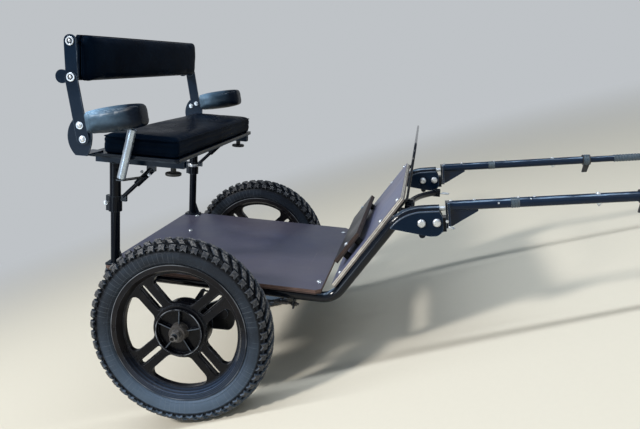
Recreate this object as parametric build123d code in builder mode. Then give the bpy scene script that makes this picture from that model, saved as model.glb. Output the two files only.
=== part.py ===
"""Two-wheeled exercise cart for one pony, drawn with its floor level and then parked.

Millimetres. X runs forward to the shafts, Y to the cart's left and Z up, from the ground under
the middle of the axle. Side pieces are drawn on the cart's right and mirrored to its left. On
export the whole cart is tipped nose down about its axle until its shaft tips rest on the ground,
which is how it parks.
"""

from build123d import *
import math
import os

# Clearances between pieces
fit_gap = 0.3
weld_gap = 0.05
bearing_gap = 0.05
running_gap = 5.0

# Tube frame
tube_diameter = 35.0
tube_wall = 2.5
tube_spacing = 690.0
dash_run = 365.0
front_run = 110.0
front_run_angle = 8.5
lower_bend_radius = 70.0
upper_bend_radius = 130.0
cross_tube_diameter = 30.0
rear_cross_inset = 40.0
front_cross_inset = 90.0
dash_cross_rise = 255.0
rear_cap_length = 5.0

# Floor, dash and foot board
floor_top = 444.0
floor_thickness = 15.0
floor_rear = -317.0
floor_front = 420.0
floor_overhang = 32.0
floor_corner_cut = 16.0
dash_gap = 20.0
dash_angle = 57.0
dash_length = 376.0
dash_lower_gap = 20.5
dash_thickness = 15.0
dash_bottom_overhang = 17.0
dash_top_overhang = -11.0
dash_corner_radius = 6.0
foot_board_inset = 55.0
foot_board_height = 124.0
foot_board_rise = 64.0
foot_board_gap = 20.0
foot_board_thickness = 15.0
foot_spacer_diameter = 24.0
foot_spacer_inset = 40.0

# Rein rail, a rod hoop on the dash
rein_rail_diameter = 8.0
rein_rail_inset = 9.0
rein_rail_height = 165.0
rein_rail_foot = 60.0
rein_rail_lean = 4.0
rein_rail_corner = 60.0

# Torsion axle with trailing arms
axle_tube_diameter = 60.0
axle_tube_wall = 4.0
axle_tube_x = 108.0
axle_tube_drop = 76.0
hanger_thickness = 8.0
hanger_ring_diameter = 80.0
hanger_top_start = 14.0
hanger_top_width = 53.0
arm_gap = 7.5
arm_thickness = 12.0
arm_pivot_diameter = 84.0
arm_heel_diameter = 46.0
arm_heel_forward = 13.0
arm_heel_drop = 35.5
arm_axle_diameter = 56.0
arm_boss_diameter = 40.0
arm_boss_length = 27.0
torsion_core_diameter = 36.0
torsion_bush_length = 40.0
axle_diameter = 20.0
axle_end_reach = 18.0
nut_gap = 1.0
washer_diameter = 36.0
washer_thickness = 3.0
nut_diameter = 32.0
nut_thickness = 12.0
brake_plate_thickness = 8.0

# Drum brakes: a lever on each brake plate, its cable, and an adjuster under the front cross tube
brake_lever_place = (22.0, 62.0)
brake_lever_tip = (45.0, 110.0)
brake_lever_thickness = 6.0
brake_lever_boss = 24.0
brake_lever_end = 14.0
brake_lever_nut = 9.0
brake_pin_diameter = 10.0
brake_pin_length = 10.0
brake_cable_diameter = 6.0
cable_end_gap = 0.6
adjuster_inset = 11.0
adjuster_z = 372.0
adjuster_rear = 262.0
adjuster_sleeve_diameter = 12.0
adjuster_sleeve_length = 46.0
adjuster_screw_diameter = 8.0
adjuster_nut_diameter = 15.0
adjuster_nut_thickness = 6.5
cable_stay_width = 30.0
cable_stay_thickness = 5.0
cable_stay_below = 12.0

# Wheels
wheel_diameter = 600.0
tyre_height = 78.0
tyre_width = 80.0
tyre_crown_drop = 20.0
tyre_wall = 8.0
tread_thickness = 13.0
rim_width = 64.0
rim_wall = 5.0
rim_lip_height = 12.0
rim_well_depth = 12.0
hub_drum_diameter = 172.0
hub_drum_depth = 45.0
hub_drum_wall = 8.0
hub_floor_depth = 10.0
hub_cover_diameter = 152.0
hub_cover_height = 25.0
hub_cover_wall = 4.0
hub_cover_ribs = 5
hub_rib_thickness = 3.0
hub_boss_diameter = 56.0
hub_boss_height = 38.0
spoke_pairs = 4
spoke_thickness = 18.0
spoke_slot_width = 14.0
spoke_slot_inset = 2.0
spoke_groove_width = 24.0
spoke_groove_depth = 3.0
window_hub_margin = 4.0
window_rim_margin = 6.0
window_hub_angle = 21.5
window_rim_angle = 33.5
window_corner_radius = 20.0
window_chamfer = 1.5

# Shaft brackets
bracket_plate = 5.0
bracket_depth = 76.0
bracket_reach = 118.0
bracket_flat = 41.0
bracket_corner = 26.0
bracket_heel_radius = 40.0
bracket_back = 4.0
bracket_bolt_diameter = 16.0
bracket_bolt_head = 26.0
bracket_bolt_start = 54.0
bracket_bolt_pitch = 46.0
bracket_bolt_depth = 33.5
bushing_height = 44.0
bushing_start = 38.0
bushing_top_gap = 2.5
bushing_side_gap = 0.5
stop_diameter = 20.0
stop_drop = 8.0
rail_plug_thickness = 8.0
rail_plug_inset = 2.0
rail_stud_diameter = 14.0
rail_stud_rise = 5.0
flange_start = 128.0
flange_thickness = 6.0
flange_gap = 0.7
flange_height = 79.0
flange_width = 46.0
flange_top = 13.0

# Shafts, each a tube with a thinner, drooping tip pushed into it
shaft_diameter = 30.0
shaft_wall = 2.5
shaft_slide_gap = 0.5
shaft_lift = 12.0
shaft_length = 565.0
shaft_taper = 0.8
shaft_gusset_length = 84.0
shaft_gusset_thickness = 6.0
shaft_tip_reach = 600.0
shaft_tip_end = 400.0
shaft_tip_drop = 20.5
shaft_tip_bend = 700.0
shaft_overlap = 220.0
shaft_cap_step = 2.0
tug_stop_width = 28.0
tug_stop_wall = 5.0
tug_stop_drop = 30.0

# Swingletree, a bowed bar on a pin in front of the dash
swingletree_forward = 66.0
swingletree_half = 265.0
swingletree_sweep = 100.0
swingletree_diameter = 22.0
swingletree_hub_diameter = 36.0
swingletree_hub_height = 30.0
swingletree_block = 28.0
swingletree_arm_thickness = 8.0
swingletree_arm_width = 40.0
pivot_pin_diameter = 12.0
pivot_gap = 1.0
trace_hook_wire = 5.0
trace_hook_length = 34.0
trace_hook_width = 18.0

# Seat posts and their braces
post_inset = 30.0
post_edge = 25.0
post_lower_diameter = 30.0
post_upper_diameter = 36.0
post_base_length = 62.0
post_base_width = 46.0
post_base_thickness = 6.0
post_base_shift = 4.0
post_gusset = 50.0
post_overlap = 90.0
collar_rise = 184.0
collar_height = 52.0
collar_wall = 4.0
collar_step = 12.0
collar_lug_reach = 16.0
collar_lug_width = 14.0
brace_reach = 141.0
brace_rod_diameter = 14.0
brace_sleeve_diameter = 22.0
brace_sleeve_share = 0.55
brace_lug_thickness = 10.0

# Seat
seat_rise = 372.0
seat_board_thickness = 12.0
seat_board_back = 63.0
seat_depth = 304.0
seat_overhang = 61.0
seat_rail_size = 25.0
seat_rail_wall = 2.5
cushion_inset = 40.0
cushion_height = 62.0
cushion_corner = 18.0
knob_inset = 40.0
knob_diameter = 52.0
knob_height = 10.0
knob_stem_diameter = 18.0
knob_stem_length = 16.0

# Side plates, backrest bars and armrests
side_plate_standoff = 60.0
side_plate_thickness = 6.0
side_plate_foot = 38.0
side_plate_height = 112.0
side_plate_front = 26.5
side_plate_front_bulge = 35.0
side_plate_rear = 24.5
side_plate_rear_bulge = 45.0
side_plate_flange = 5.0
side_plate_lap = 34.0
upright_angle = 101.3
upright_width = 40.0
upright_bolt_rise = 52.0
upright_bolt_inset = 25.5
upright_reach = 190.0
back_bar_angle = 92.7
back_bar_reach = 107.0
back_tube_diameter = 30.0
back_tube_wall = 2.5
back_tube_offset = 33.0
back_lug_diameter = 42.0
backrest_gap = 23.0
backrest_height = 148.0
backrest_drop = 16.0
backrest_board_thickness = 12.0
backrest_cushion_thickness = 38.0
backrest_corner = 14.0
armrest_diameter = 74.0
armrest_length = 182.0
armrest_tilt = 11.8
armrest_rod_diameter = 12.0
armrest_rod_length = 110.0

# Whip holder, a bare tube beside the seat on the cart's right
whip_tube_diameter = 27.0
whip_bore_diameter = 22.0
whip_tube_length = 161.0
whip_tube_floor = 4.0
whip_tube_tilt = 77.0
whip_tube_standoff = 15.0
whip_tube_forward = 60.0
whip_tube_below_seat = 58.0
whip_arm_thickness = 4.0
whip_arm_width = 24.0

# Places that follow from the sizes above
axle_height = wheel_diameter / 2
rail_y = tube_spacing / 2
rail_z = floor_top - floor_thickness - tube_diameter / 2
adjuster_y = rail_y - adjuster_inset
floor_half = rail_y + floor_overhang
axle_tube_z = rail_z - axle_tube_drop
hanger_y = rail_y + tube_diameter / 2
arm_y = hanger_y + hanger_thickness + arm_gap
arm_outer_y = arm_y + arm_thickness
brake_plate_y = arm_outer_y + arm_boss_length
drum_y = brake_plate_y + brake_plate_thickness + running_gap
wheel_y = drum_y + hub_drum_depth
post_x = floor_rear + post_inset
post_y = floor_half - post_edge
seat_bottom = floor_top + seat_rise
seat_top = seat_bottom + seat_board_thickness
seat_rear = post_x - seat_board_back
seat_front = seat_rear + seat_depth
seat_half = post_y + seat_overhang
rail_bottom = seat_bottom - seat_rail_size
shaft_tip_diameter = shaft_diameter - 2 * shaft_wall - 2 * shaft_slide_gap
shaft_cap_diameter = shaft_tip_diameter + 2 * shaft_cap_step

os.makedirs("parts", exist_ok=True)


def along(start, angle, distance, offset=0.0):
    """Point in the XZ plane at a distance along a sloping line, and an offset above the line."""
    a = math.radians(angle)
    x = start[0] + distance * math.cos(a) - offset * math.sin(a)
    z = start[1] + distance * math.sin(a) + offset * math.cos(a)
    return (x, z)


def side_plane(y):
    """XZ plane at the given Y, with Z up the sketch; a positive extrude leads to the right."""
    return Plane(origin=(0, y, 0), x_dir=(1, 0, 0), z_dir=(0, -1, 0))


def cut_plane(point, angle, y):
    """Plane square to a sloping line, its X across the cart; a positive extrude climbs the line."""
    a = math.radians(angle)
    return Plane(origin=(point[0], y, point[1]), x_dir=(0, 1, 0), z_dir=(math.cos(a), 0, math.sin(a)))


def arc_radii(points):
    """Radius at each corner of a route: 0.45 of its shorter run over the tangent of half the turn."""
    radii = []
    for before, corner, after in zip(points, points[1:], points[2:]):
        run_in = Vector(*corner) - Vector(*before)
        run_out = Vector(*after) - Vector(*corner)
        half_turn = math.radians(run_in.get_angle(run_out)) / 2
        radii.append(0.45 * min(run_in.length, run_out.length) / math.tan(half_turn))
    return radii


# The frame tube's centre line: under the floor, up the dash's front face, then out to the shafts.
dash_foot = (floor_front + dash_gap, floor_top)
tube_line = along(dash_foot, dash_angle, 0, -(dash_thickness + tube_diameter / 2))
lower_slide = (rail_z - tube_line[1]) / math.sin(math.radians(dash_angle))
lower_corner = along(tube_line, dash_angle, lower_slide)
upper_corner = along(lower_corner, dash_angle, dash_run)
run_end = along(upper_corner, front_run_angle, front_run)
dash_cross = along(tube_line, dash_angle, dash_cross_rise)


def on_run(distance, offset=0.0):
    """Point beside the tube's front run, measured from its upper bend."""
    return along(upper_corner, front_run_angle, distance, offset)


# The shaft's centre line, from its end plate to the drooping tip.
shaft_start = on_run(flange_start + 2 * flange_thickness + flange_gap, shaft_lift)
outer_end = along(shaft_start, front_run_angle, shaft_length)
tip_bend = along(outer_end, front_run_angle, shaft_tip_reach)
tip_end = along(tip_bend, front_run_angle - shaft_tip_drop, shaft_tip_end)
inner_start = along(outer_end, front_run_angle, -shaft_overlap)

# Tipped nose down about the axle, the round shaft caps just touch the ground.
tip_distance = math.hypot(tip_end[0], tip_end[1] - axle_height)
tip_slope = math.atan2(tip_end[1] - axle_height, tip_end[0])
tip_fall = math.asin((axle_height - shaft_cap_diameter / 2) / tip_distance)
park_angle = math.degrees(tip_fall + tip_slope)
axle_line = Axis((0, 0, axle_height), (0, 1, 0))
print("park angle", round(park_angle, 4))


def save(solid, name):
    """Tip a finished piece into the parked pose, name it and write it."""
    parked = solid.rotate(axle_line, park_angle)
    parked.label = name
    export_step(parked, f"parts/{name}.step")


def save_both(solid, name):
    """Write the right piece, and its mirror image as the left one."""
    save(solid, f"{name}_right")
    save(solid.mirror(Plane.XZ), f"{name}_left")


# Side rails: one bent tube each side, and the full rod that the cross tubes are coped to
with BuildLine(side_plane(-rail_y)) as rail_path:
    FilletPolyline(
        (floor_rear, rail_z),
        lower_corner,
        upper_corner,
        run_end,
        radius=[lower_bend_radius, upper_bend_radius],
    )
rail_end_plane = Plane(rail_path.line @ 0, z_dir=rail_path.line % 0)

with BuildPart() as side_rail:
    with BuildSketch(rail_end_plane):
        Circle(tube_diameter / 2)
        Circle(tube_diameter / 2 - tube_wall, mode=Mode.SUBTRACT)
    sweep(path=rail_path.line)
save_both(side_rail.part, "side_rail")

with BuildPart() as coping_rod:
    with BuildSketch(rail_end_plane):
        Circle(tube_diameter / 2 + weld_gap)
    sweep(path=rail_path.line)
    mirror(about=Plane.XZ)

# Cross tubes between the rails, each coped at both ends
cross_tubes = (
    ("rear_cross_tube", (floor_rear + rear_cross_inset, rail_z)),
    ("front_cross_tube", (floor_front - front_cross_inset, rail_z)),
    ("dash_cross_tube", dash_cross),
)
for name, place in cross_tubes:
    with BuildPart() as cross_tube:
        with BuildSketch(side_plane(rail_y)):
            with Locations(place):
                Circle(cross_tube_diameter / 2)
                Circle(cross_tube_diameter / 2 - tube_wall, mode=Mode.SUBTRACT)
        extrude(amount=tube_spacing)
        add(coping_rod.part, mode=Mode.SUBTRACT)
        cross_tube.part = cross_tube.solids().sort_by(SortBy.VOLUME)[-1]
    save(cross_tube.part, name)

# A domed plastic cap closes each rail's rear end
with BuildPart() as rear_caps:
    with BuildSketch(cut_plane((floor_rear, rail_z), 180, -rail_y)):
        Circle(tube_diameter / 2)
    extrude(amount=rear_cap_length)
    fillet(rear_caps.faces().sort_by(Axis.X)[0].edges(), rear_cap_length - 1)
    mirror(about=Plane.XZ)
save(rear_caps.part, "rail_caps")

# A bright plug in each rail's front end, with the stud that the shaft's end plate bolts to
plug_start = front_run - rail_plug_inset - rail_plug_thickness
with BuildPart() as rail_plugs:
    with BuildSketch(cut_plane(on_run(plug_start), front_run_angle, -rail_y)):
        Circle(tube_diameter / 2 - tube_wall - weld_gap)
    extrude(amount=rail_plug_thickness)
    with BuildSketch(cut_plane(on_run(plug_start, rail_stud_rise), front_run_angle, -rail_y)):
        Circle(rail_stud_diameter / 2)
    extrude(amount=flange_start - fit_gap - plug_start)
    mirror(about=Plane.XZ)
save(rail_plugs.part, "rail_plugs")

# Floor board
with BuildPart() as floor_board:
    with BuildSketch(Plane.XY.offset(floor_top - floor_thickness)):
        with Locations(((floor_rear + floor_front) / 2, 0)):
            floor_outline = Rectangle(floor_front - floor_rear, 2 * floor_half)
        chamfer(floor_outline.vertices(), floor_corner_cut)
    extrude(amount=floor_thickness)
save(floor_board.part, "floor_board")

# Dash and foot board, drawn on the dash's driver side with X up its slope
slope = math.radians(dash_angle)
dash_plane = Plane(
    origin=(dash_foot[0], 0, dash_foot[1]),
    x_dir=(math.cos(slope), 0, math.sin(slope)),
    z_dir=(-math.sin(slope), 0, math.cos(slope)),
)
dash_bottom_half = rail_y + dash_bottom_overhang
dash_top_half = rail_y + dash_top_overhang
with BuildPart() as dash_board:
    with BuildSketch(dash_plane):
        with BuildLine():
            Polyline(
                (dash_lower_gap, -dash_bottom_half),
                (dash_length, -dash_top_half),
                (dash_length, dash_top_half),
                (dash_lower_gap, dash_bottom_half),
                close=True,
            )
        dash_outline = make_face()
        fillet(dash_outline.vertices(), dash_corner_radius)
    extrude(amount=-dash_thickness)
save(dash_board.part, "dash_board")

foot_board_half = rail_y - foot_board_inset
with BuildPart() as foot_board:
    foot_board_middle = foot_board_rise + foot_board_height / 2
    with BuildSketch(dash_plane.offset(foot_board_gap)):
        with Locations((foot_board_middle, 0)):
            RectangleRounded(foot_board_height, 2 * foot_board_half, 4)
    extrude(amount=foot_board_thickness)
    with BuildSketch(dash_plane):
        with Locations((foot_board_middle, 0)):
            with GridLocations(foot_board_height / 2, 2 * (foot_board_half - foot_spacer_inset), 2, 2):
                Circle(foot_spacer_diameter / 2)
    extrude(amount=foot_board_gap)
save(foot_board.part, "foot_board")

# Rein rail: its feet lie on the dash's front face, then the hoop stands up and leans forward
rod_drop = -(dash_thickness + rein_rail_diameter / 2 + fit_gap)
rein_foot = along(dash_foot, dash_angle, dash_length - rein_rail_foot, rod_drop)
rein_bend = along(rein_foot, dash_angle, rein_rail_foot + rein_rail_diameter)
rein_top = along(rein_bend, 90 - rein_rail_lean, rein_rail_height)
rein_half = dash_top_half - rein_rail_inset
with BuildPart() as rein_rail:
    with BuildLine() as rein_path:
        FilletPolyline(
            (rein_foot[0], -rein_half, rein_foot[1]),
            (rein_bend[0], -rein_half, rein_bend[1]),
            (rein_top[0], -rein_half, rein_top[1]),
            (rein_top[0], rein_half, rein_top[1]),
            (rein_bend[0], rein_half, rein_bend[1]),
            (rein_foot[0], rein_half, rein_foot[1]),
            radius=[rein_rail_foot / 3, rein_rail_corner, rein_rail_corner, rein_rail_foot / 3],
        )
    with BuildSketch(Plane(rein_path.line @ 0, z_dir=rein_path.line % 0)):
        Circle(rein_rail_diameter / 2)
    sweep()
save(rein_rail.part, "rein_rail")

# Torsion axle tube, closed at each end by a bush for the arm's rubber core
axle_tube_half = arm_y - running_gap + 1
axle_tube_r = axle_tube_diameter / 2
with BuildPart() as axle_tube:
    with BuildSketch(side_plane(-axle_tube_half)):
        with Locations((axle_tube_x, axle_tube_z)):
            Circle(axle_tube_r)
            Circle(torsion_core_diameter / 2 + fit_gap, mode=Mode.SUBTRACT)
    extrude(amount=-torsion_bush_length)
    with BuildSketch(side_plane(-axle_tube_half + torsion_bush_length)):
        with Locations((axle_tube_x, axle_tube_z)):
            Circle(axle_tube_r)
            Circle(axle_tube_r - axle_tube_wall, mode=Mode.SUBTRACT)
    extrude(amount=-(axle_tube_half - torsion_bush_length))
    mirror(about=Plane.XZ)
save(axle_tube.part, "torsion_axle_tube")

# Hanger plates: a ring round the axle tube that leans forward to its weld on the rail
with BuildPart() as axle_hangers:
    with BuildSketch(side_plane(-hanger_y)):
        with Locations((axle_tube_x, axle_tube_z)):
            Circle(hanger_ring_diameter / 2)
        hanger_top_x = axle_tube_x + hanger_top_start + hanger_top_width / 2
        with Locations((hanger_top_x, rail_z - hanger_thickness / 2)):
            Rectangle(hanger_top_width, hanger_thickness)
        make_hull()
        with Locations((axle_tube_x, axle_tube_z)):
            Circle(axle_tube_r + weld_gap, mode=Mode.SUBTRACT)
    extrude(amount=hanger_thickness)
    mirror(about=Plane.XZ)
save(axle_hangers.part, "axle_hangers")

# Trailing arm: rubber core, arm, boss and stub axle in one
core_place = (axle_tube_x, axle_tube_z)
axle_place = (0, axle_height)
with BuildPart() as trailing_arm:
    with BuildSketch(side_plane(-arm_y)):
        with Locations(core_place):
            Circle(arm_pivot_diameter / 2)
        with Locations((core_place[0] + arm_heel_forward, core_place[1] - arm_heel_drop)):
            Circle(arm_heel_diameter / 2)
        with Locations(axle_place):
            Circle(arm_axle_diameter / 2)
        make_hull()
    extrude(amount=arm_thickness)
    with BuildSketch(side_plane(-arm_y)):
        with Locations(core_place):
            Circle(torsion_core_diameter / 2)
    extrude(amount=-torsion_bush_length)
    with BuildSketch(side_plane(-arm_outer_y)):
        with Locations(core_place):
            Circle(torsion_core_diameter / 2)
    extrude(amount=arm_boss_length / 4)
    with BuildSketch(side_plane(-arm_outer_y)):
        with Locations(axle_place):
            Circle(arm_boss_diameter / 2)
    extrude(amount=arm_boss_length + brake_plate_thickness - 2)
    with BuildSketch(side_plane(-arm_outer_y)):
        with Locations(axle_place):
            Circle(axle_diameter / 2)
    extrude(amount=wheel_y + hub_boss_height + axle_end_reach - arm_outer_y)
    chamfer(trailing_arm.faces().sort_by(Axis.Y)[0].edges(), 1.5)
save_both(trailing_arm.part, "trailing_arm")

# Brake backing plates, clear of the turning drum by the running gap
drum_r = hub_drum_diameter / 2
with BuildPart() as brake_plates:
    with BuildSketch(side_plane(-brake_plate_y)):
        with Locations(axle_place):
            Circle(drum_r)
            Circle(arm_boss_diameter / 2 + fit_gap, mode=Mode.SUBTRACT)
    extrude(amount=brake_plate_thickness)
    chamfer(brake_plates.faces().sort_by(Axis.Y)[-1].edges().sort_by(SortBy.LENGTH)[-1], 3)
    mirror(about=Plane.XZ)
save(brake_plates.part, "brake_plates")

# Brake levers: an arm on each brake plate's spindle, with a nut and the pin that the cable pulls
lever_place = (brake_lever_place[0], axle_height + brake_lever_place[1])
lever_tip = (brake_lever_tip[0], axle_height + brake_lever_tip[1])
lever_y = brake_plate_y - brake_lever_thickness
with BuildPart() as brake_levers:
    with BuildSketch(side_plane(-lever_y)):
        with Locations(lever_place):
            Circle(brake_lever_boss / 2)
        with Locations(lever_tip):
            Circle(brake_lever_end / 2)
        make_hull()
    extrude(amount=brake_lever_thickness)
    with BuildSketch(side_plane(-lever_y)):
        with Locations(lever_place):
            RegularPolygon(brake_lever_nut, 6)
    extrude(amount=-brake_lever_thickness)
    with BuildSketch(side_plane(-lever_y)):
        with Locations(lever_tip):
            Circle(brake_pin_diameter / 2)
    extrude(amount=-brake_pin_length)
    mirror(about=Plane.XZ)
save(brake_levers.part, "brake_levers")

# Brake cables: from the lever's pin over the arm, then in under the rail to the adjuster
cable_y = lever_y - brake_pin_length / 2
cable_start = lever_tip[0] + brake_pin_diameter / 2 + cable_end_gap
cable_route = (
    (cable_start, -cable_y, lever_tip[1]),
    (90, -cable_y + 1, lever_tip[1] - 6),
    (135, -396, lever_tip[1] - 16),
    (178, -380, 386),
    (212, -352, 378),
    (adjuster_rear - 24, -adjuster_y, adjuster_z),
    (adjuster_rear, -adjuster_y, adjuster_z),
)
cable_radii = arc_radii(cable_route)
print("brake cable radii", [round(radius, 1) for radius in cable_radii])
with BuildPart() as brake_cables:
    with BuildLine() as cable_path:
        FilletPolyline(*cable_route, radius=cable_radii)
    with BuildSketch(Plane(cable_path.line @ 0, z_dir=cable_path.line % 0)):
        Circle(brake_cable_diameter / 2)
    sweep()
    mirror(about=Plane.XZ)
save(brake_cables.part, "brake_cables")

# Cable stays: a plate under the front cross tube, coped to the rail beside it
stay_x = floor_front - front_cross_inset
stay_top = rail_z - cross_tube_diameter / 2 - weld_gap
with BuildPart() as cable_stays:
    with BuildSketch(Plane.YZ.offset(stay_x - cable_stay_thickness / 2)):
        with Locations((-adjuster_y, (stay_top + adjuster_z - cable_stay_below) / 2)):
            Rectangle(cable_stay_width, stay_top - adjuster_z + cable_stay_below)
        with Locations((-adjuster_y, adjuster_z)):
            Circle(adjuster_screw_diameter / 2 + fit_gap, mode=Mode.SUBTRACT)
    extrude(amount=cable_stay_thickness)
    mirror(about=Plane.XZ)
    add(coping_rod.part, mode=Mode.SUBTRACT)
save(cable_stays.part, "brake_cable_stays")

# Brake adjusters: a sleeve on the cable's end, and a screw held in the stay by a nut on each side
screw_end = stay_x + cable_stay_thickness / 2 + fit_gap + 2 * adjuster_nut_thickness
with BuildPart() as brake_adjusters:
    with BuildSketch(Plane.YZ.offset(adjuster_rear + weld_gap)):
        with Locations((-adjuster_y, adjuster_z)):
            Circle(adjuster_sleeve_diameter / 2)
    extrude(amount=adjuster_sleeve_length)
    with BuildSketch(Plane.YZ.offset(adjuster_rear + adjuster_sleeve_length)):
        with Locations((-adjuster_y, adjuster_z)):
            Circle(adjuster_screw_diameter / 2)
    extrude(amount=screw_end - adjuster_rear - adjuster_sleeve_length)
    for side in (-1, 1):
        with BuildSketch(Plane.YZ.offset(stay_x + side * (cable_stay_thickness / 2 + fit_gap))):
            with Locations((-adjuster_y, adjuster_z)):
                RegularPolygon(adjuster_nut_diameter / 2, 6)
        extrude(amount=side * adjuster_nut_thickness)
    mirror(about=Plane.XZ)
save(brake_adjusters.part, "brake_adjusters")

# Cast wheel: one revolved section, then windows, slots and grooves cut between split spokes
lip_r = axle_height - tyre_height
seat_r = lip_r - rim_lip_height
well_r = seat_r - rim_well_depth
cover_r = hub_cover_diameter / 2
boss_r = hub_boss_diameter / 2
bore_r = axle_diameter / 2 + bearing_gap
half_rim = rim_width / 2
half_web = spoke_thickness / 2
window_in = drum_r + window_hub_margin
window_out = well_r - rim_wall - window_rim_margin

# Sketch plane through the right wheel's axle: X is the radius and Y points outboard.
wheel_plane = Plane(origin=(0, -wheel_y, axle_height), x_dir=(1, 0, 0), z_dir=(0, 0, -1))
wheel_axis = Axis((0, -wheel_y, axle_height), (0, -1, 0))
spoke_face = Plane(origin=(0, -wheel_y - half_web, axle_height), x_dir=(1, 0, 0), z_dir=(0, -1, 0))


def polar(radius, degrees):
    """Point at a radius and an angle in a wheel face sketch."""
    return (radius * math.cos(math.radians(degrees)), radius * math.sin(math.radians(degrees)))


with BuildSketch() as window:
    with BuildLine():
        hub_corner = polar(window_in, window_hub_angle)
        rim_corner = polar(window_out, window_rim_angle)
        Line(hub_corner, rim_corner)
        ThreePointArc(rim_corner, (window_out, 0), (rim_corner[0], -rim_corner[1]))
        Line((rim_corner[0], -rim_corner[1]), (hub_corner[0], -hub_corner[1]))
        ThreePointArc((hub_corner[0], -hub_corner[1]), (window_in, 0), hub_corner)
    make_face()
    fillet(window.vertices(), window_corner_radius)

with BuildPart() as cast_wheel:
    with BuildSketch(wheel_plane):
        with BuildLine():
            Polyline(
                (bore_r, -hub_floor_depth),
                (drum_r - 3 * hub_drum_wall, -hub_floor_depth),
                (drum_r - hub_drum_wall, -hub_drum_depth),
                (drum_r, -hub_drum_depth),
                (drum_r, -half_web),
                (well_r - rim_wall, -half_web),
                (seat_r - rim_wall, -half_rim),
                (lip_r, -half_rim),
                (lip_r, -half_rim + rim_wall - 1),
                (seat_r, -half_rim + rim_wall + 1),
                (well_r, -half_rim / 2),
                (well_r, half_rim / 2),
                (seat_r, half_rim - rim_wall - 1),
                (lip_r, half_rim - rim_wall + 1),
                (lip_r, half_rim),
                (seat_r - rim_wall, half_rim),
                (well_r - rim_wall, half_web),
                (drum_r, half_web),
                (drum_r, half_web + 4),
                (drum_r - 2, half_web + 6),
                (cover_r - 3, half_web + 6),
                (cover_r - 3, hub_cover_height - 4),
                (cover_r, hub_cover_height - 4),
                (cover_r, hub_cover_height),
                (cover_r - hub_cover_wall, hub_cover_height),
                (cover_r - hub_cover_wall, half_web),
                (boss_r, half_web),
                (boss_r - 2, hub_boss_height),
                (bore_r, hub_boss_height),
                close=True,
            )
        make_face()
    revolve(axis=wheel_axis)
    with BuildSketch(spoke_face):
        with PolarLocations(0, spoke_pairs):
            add(window.sketch)
    extrude(amount=-spoke_thickness, mode=Mode.SUBTRACT)
    window_edges = cast_wheel.edges(Select.LAST).filter_by(
        lambda edge: abs(edge.center().Y + wheel_y + half_web) < 0.01
    )
    chamfer(window_edges, window_chamfer)
    split_angle = 180 / spoke_pairs
    split_middle = (window_in + window_out) / 2
    split_length = window_out - window_in
    with BuildSketch(spoke_face):
        with PolarLocations(0, spoke_pairs, start_angle=split_angle):
            with Locations((split_middle, 0)):
                SlotOverall(split_length + 2 * spoke_slot_inset, spoke_groove_width)
    extrude(amount=-spoke_groove_depth, mode=Mode.SUBTRACT)
    with BuildSketch(spoke_face):
        with PolarLocations(0, spoke_pairs, start_angle=split_angle):
            with Locations((split_middle, 0)):
                SlotOverall(split_length - 2 * spoke_slot_inset, spoke_slot_width)
    extrude(amount=-spoke_thickness, mode=Mode.SUBTRACT)
    with BuildSketch(spoke_face):
        with PolarLocations((cover_r + boss_r) / 2 - 2, hub_cover_ribs, start_angle=90):
            Rectangle(cover_r - boss_r - 1, hub_rib_thickness)
    extrude(amount=hub_cover_height - half_web - 3)
save_both(cast_wheel.part, "cast_wheel")

# Tyre: crown, shoulder, side wall and bead outside, then the same back inside
crown_r = axle_height
shoulder_r = crown_r - tyre_crown_drop
bulge_r = lip_r + tyre_height / 2
half_tyre = tyre_width / 2
bead_face = half_rim - rim_wall
crown_end = (shoulder_r, half_tyre - 2)
crown_middle = (crown_r - tyre_crown_drop / 4, half_tyre * 0.55)
flank_middle = (lip_r + tyre_height / 5, half_tyre - 4)
with BuildPart() as tyre:
    with BuildSketch(wheel_plane):
        with BuildLine():
            ThreePointArc((crown_r, 0), crown_middle, crown_end)
            Line(crown_end, (bulge_r, half_tyre))
            ThreePointArc((bulge_r, half_tyre), flank_middle, (lip_r + 1, bead_face))
            Polyline(
                (lip_r + 1, bead_face),
                (seat_r + fit_gap, bead_face - 2),
                (seat_r + fit_gap, bead_face - 2 - tyre_wall),
                (lip_r + 6, bead_face - 1 - tyre_wall),
                (bulge_r, half_tyre - tyre_wall),
                (shoulder_r, half_tyre - 2 - tyre_wall),
                (crown_r - tread_thickness, 0),
            )
            mirror(about=Plane.XZ)
        make_face()
    revolve(axis=wheel_axis)
save_both(tyre.part, "tyre")

# Axle nuts, each with its washer, on the ends of the stub axles
nut_y = -wheel_y - hub_boss_height - nut_gap
nut_plane = Plane(origin=(0, nut_y, axle_height), x_dir=(1, 0, 0), z_dir=(0, -1, 0))
with BuildPart() as axle_nuts:
    with BuildSketch(nut_plane):
        Circle(washer_diameter / 2)
    extrude(amount=washer_thickness)
    with BuildSketch(nut_plane.offset(washer_thickness)):
        RegularPolygon(nut_diameter / 2, 6)
    extrude(amount=nut_thickness)
    with BuildSketch(nut_plane):
        Circle(bore_r)
    extrude(amount=washer_thickness + nut_thickness, mode=Mode.SUBTRACT)
    mirror(about=Plane.XZ)
save(axle_nuts.part, "axle_nuts")

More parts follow.
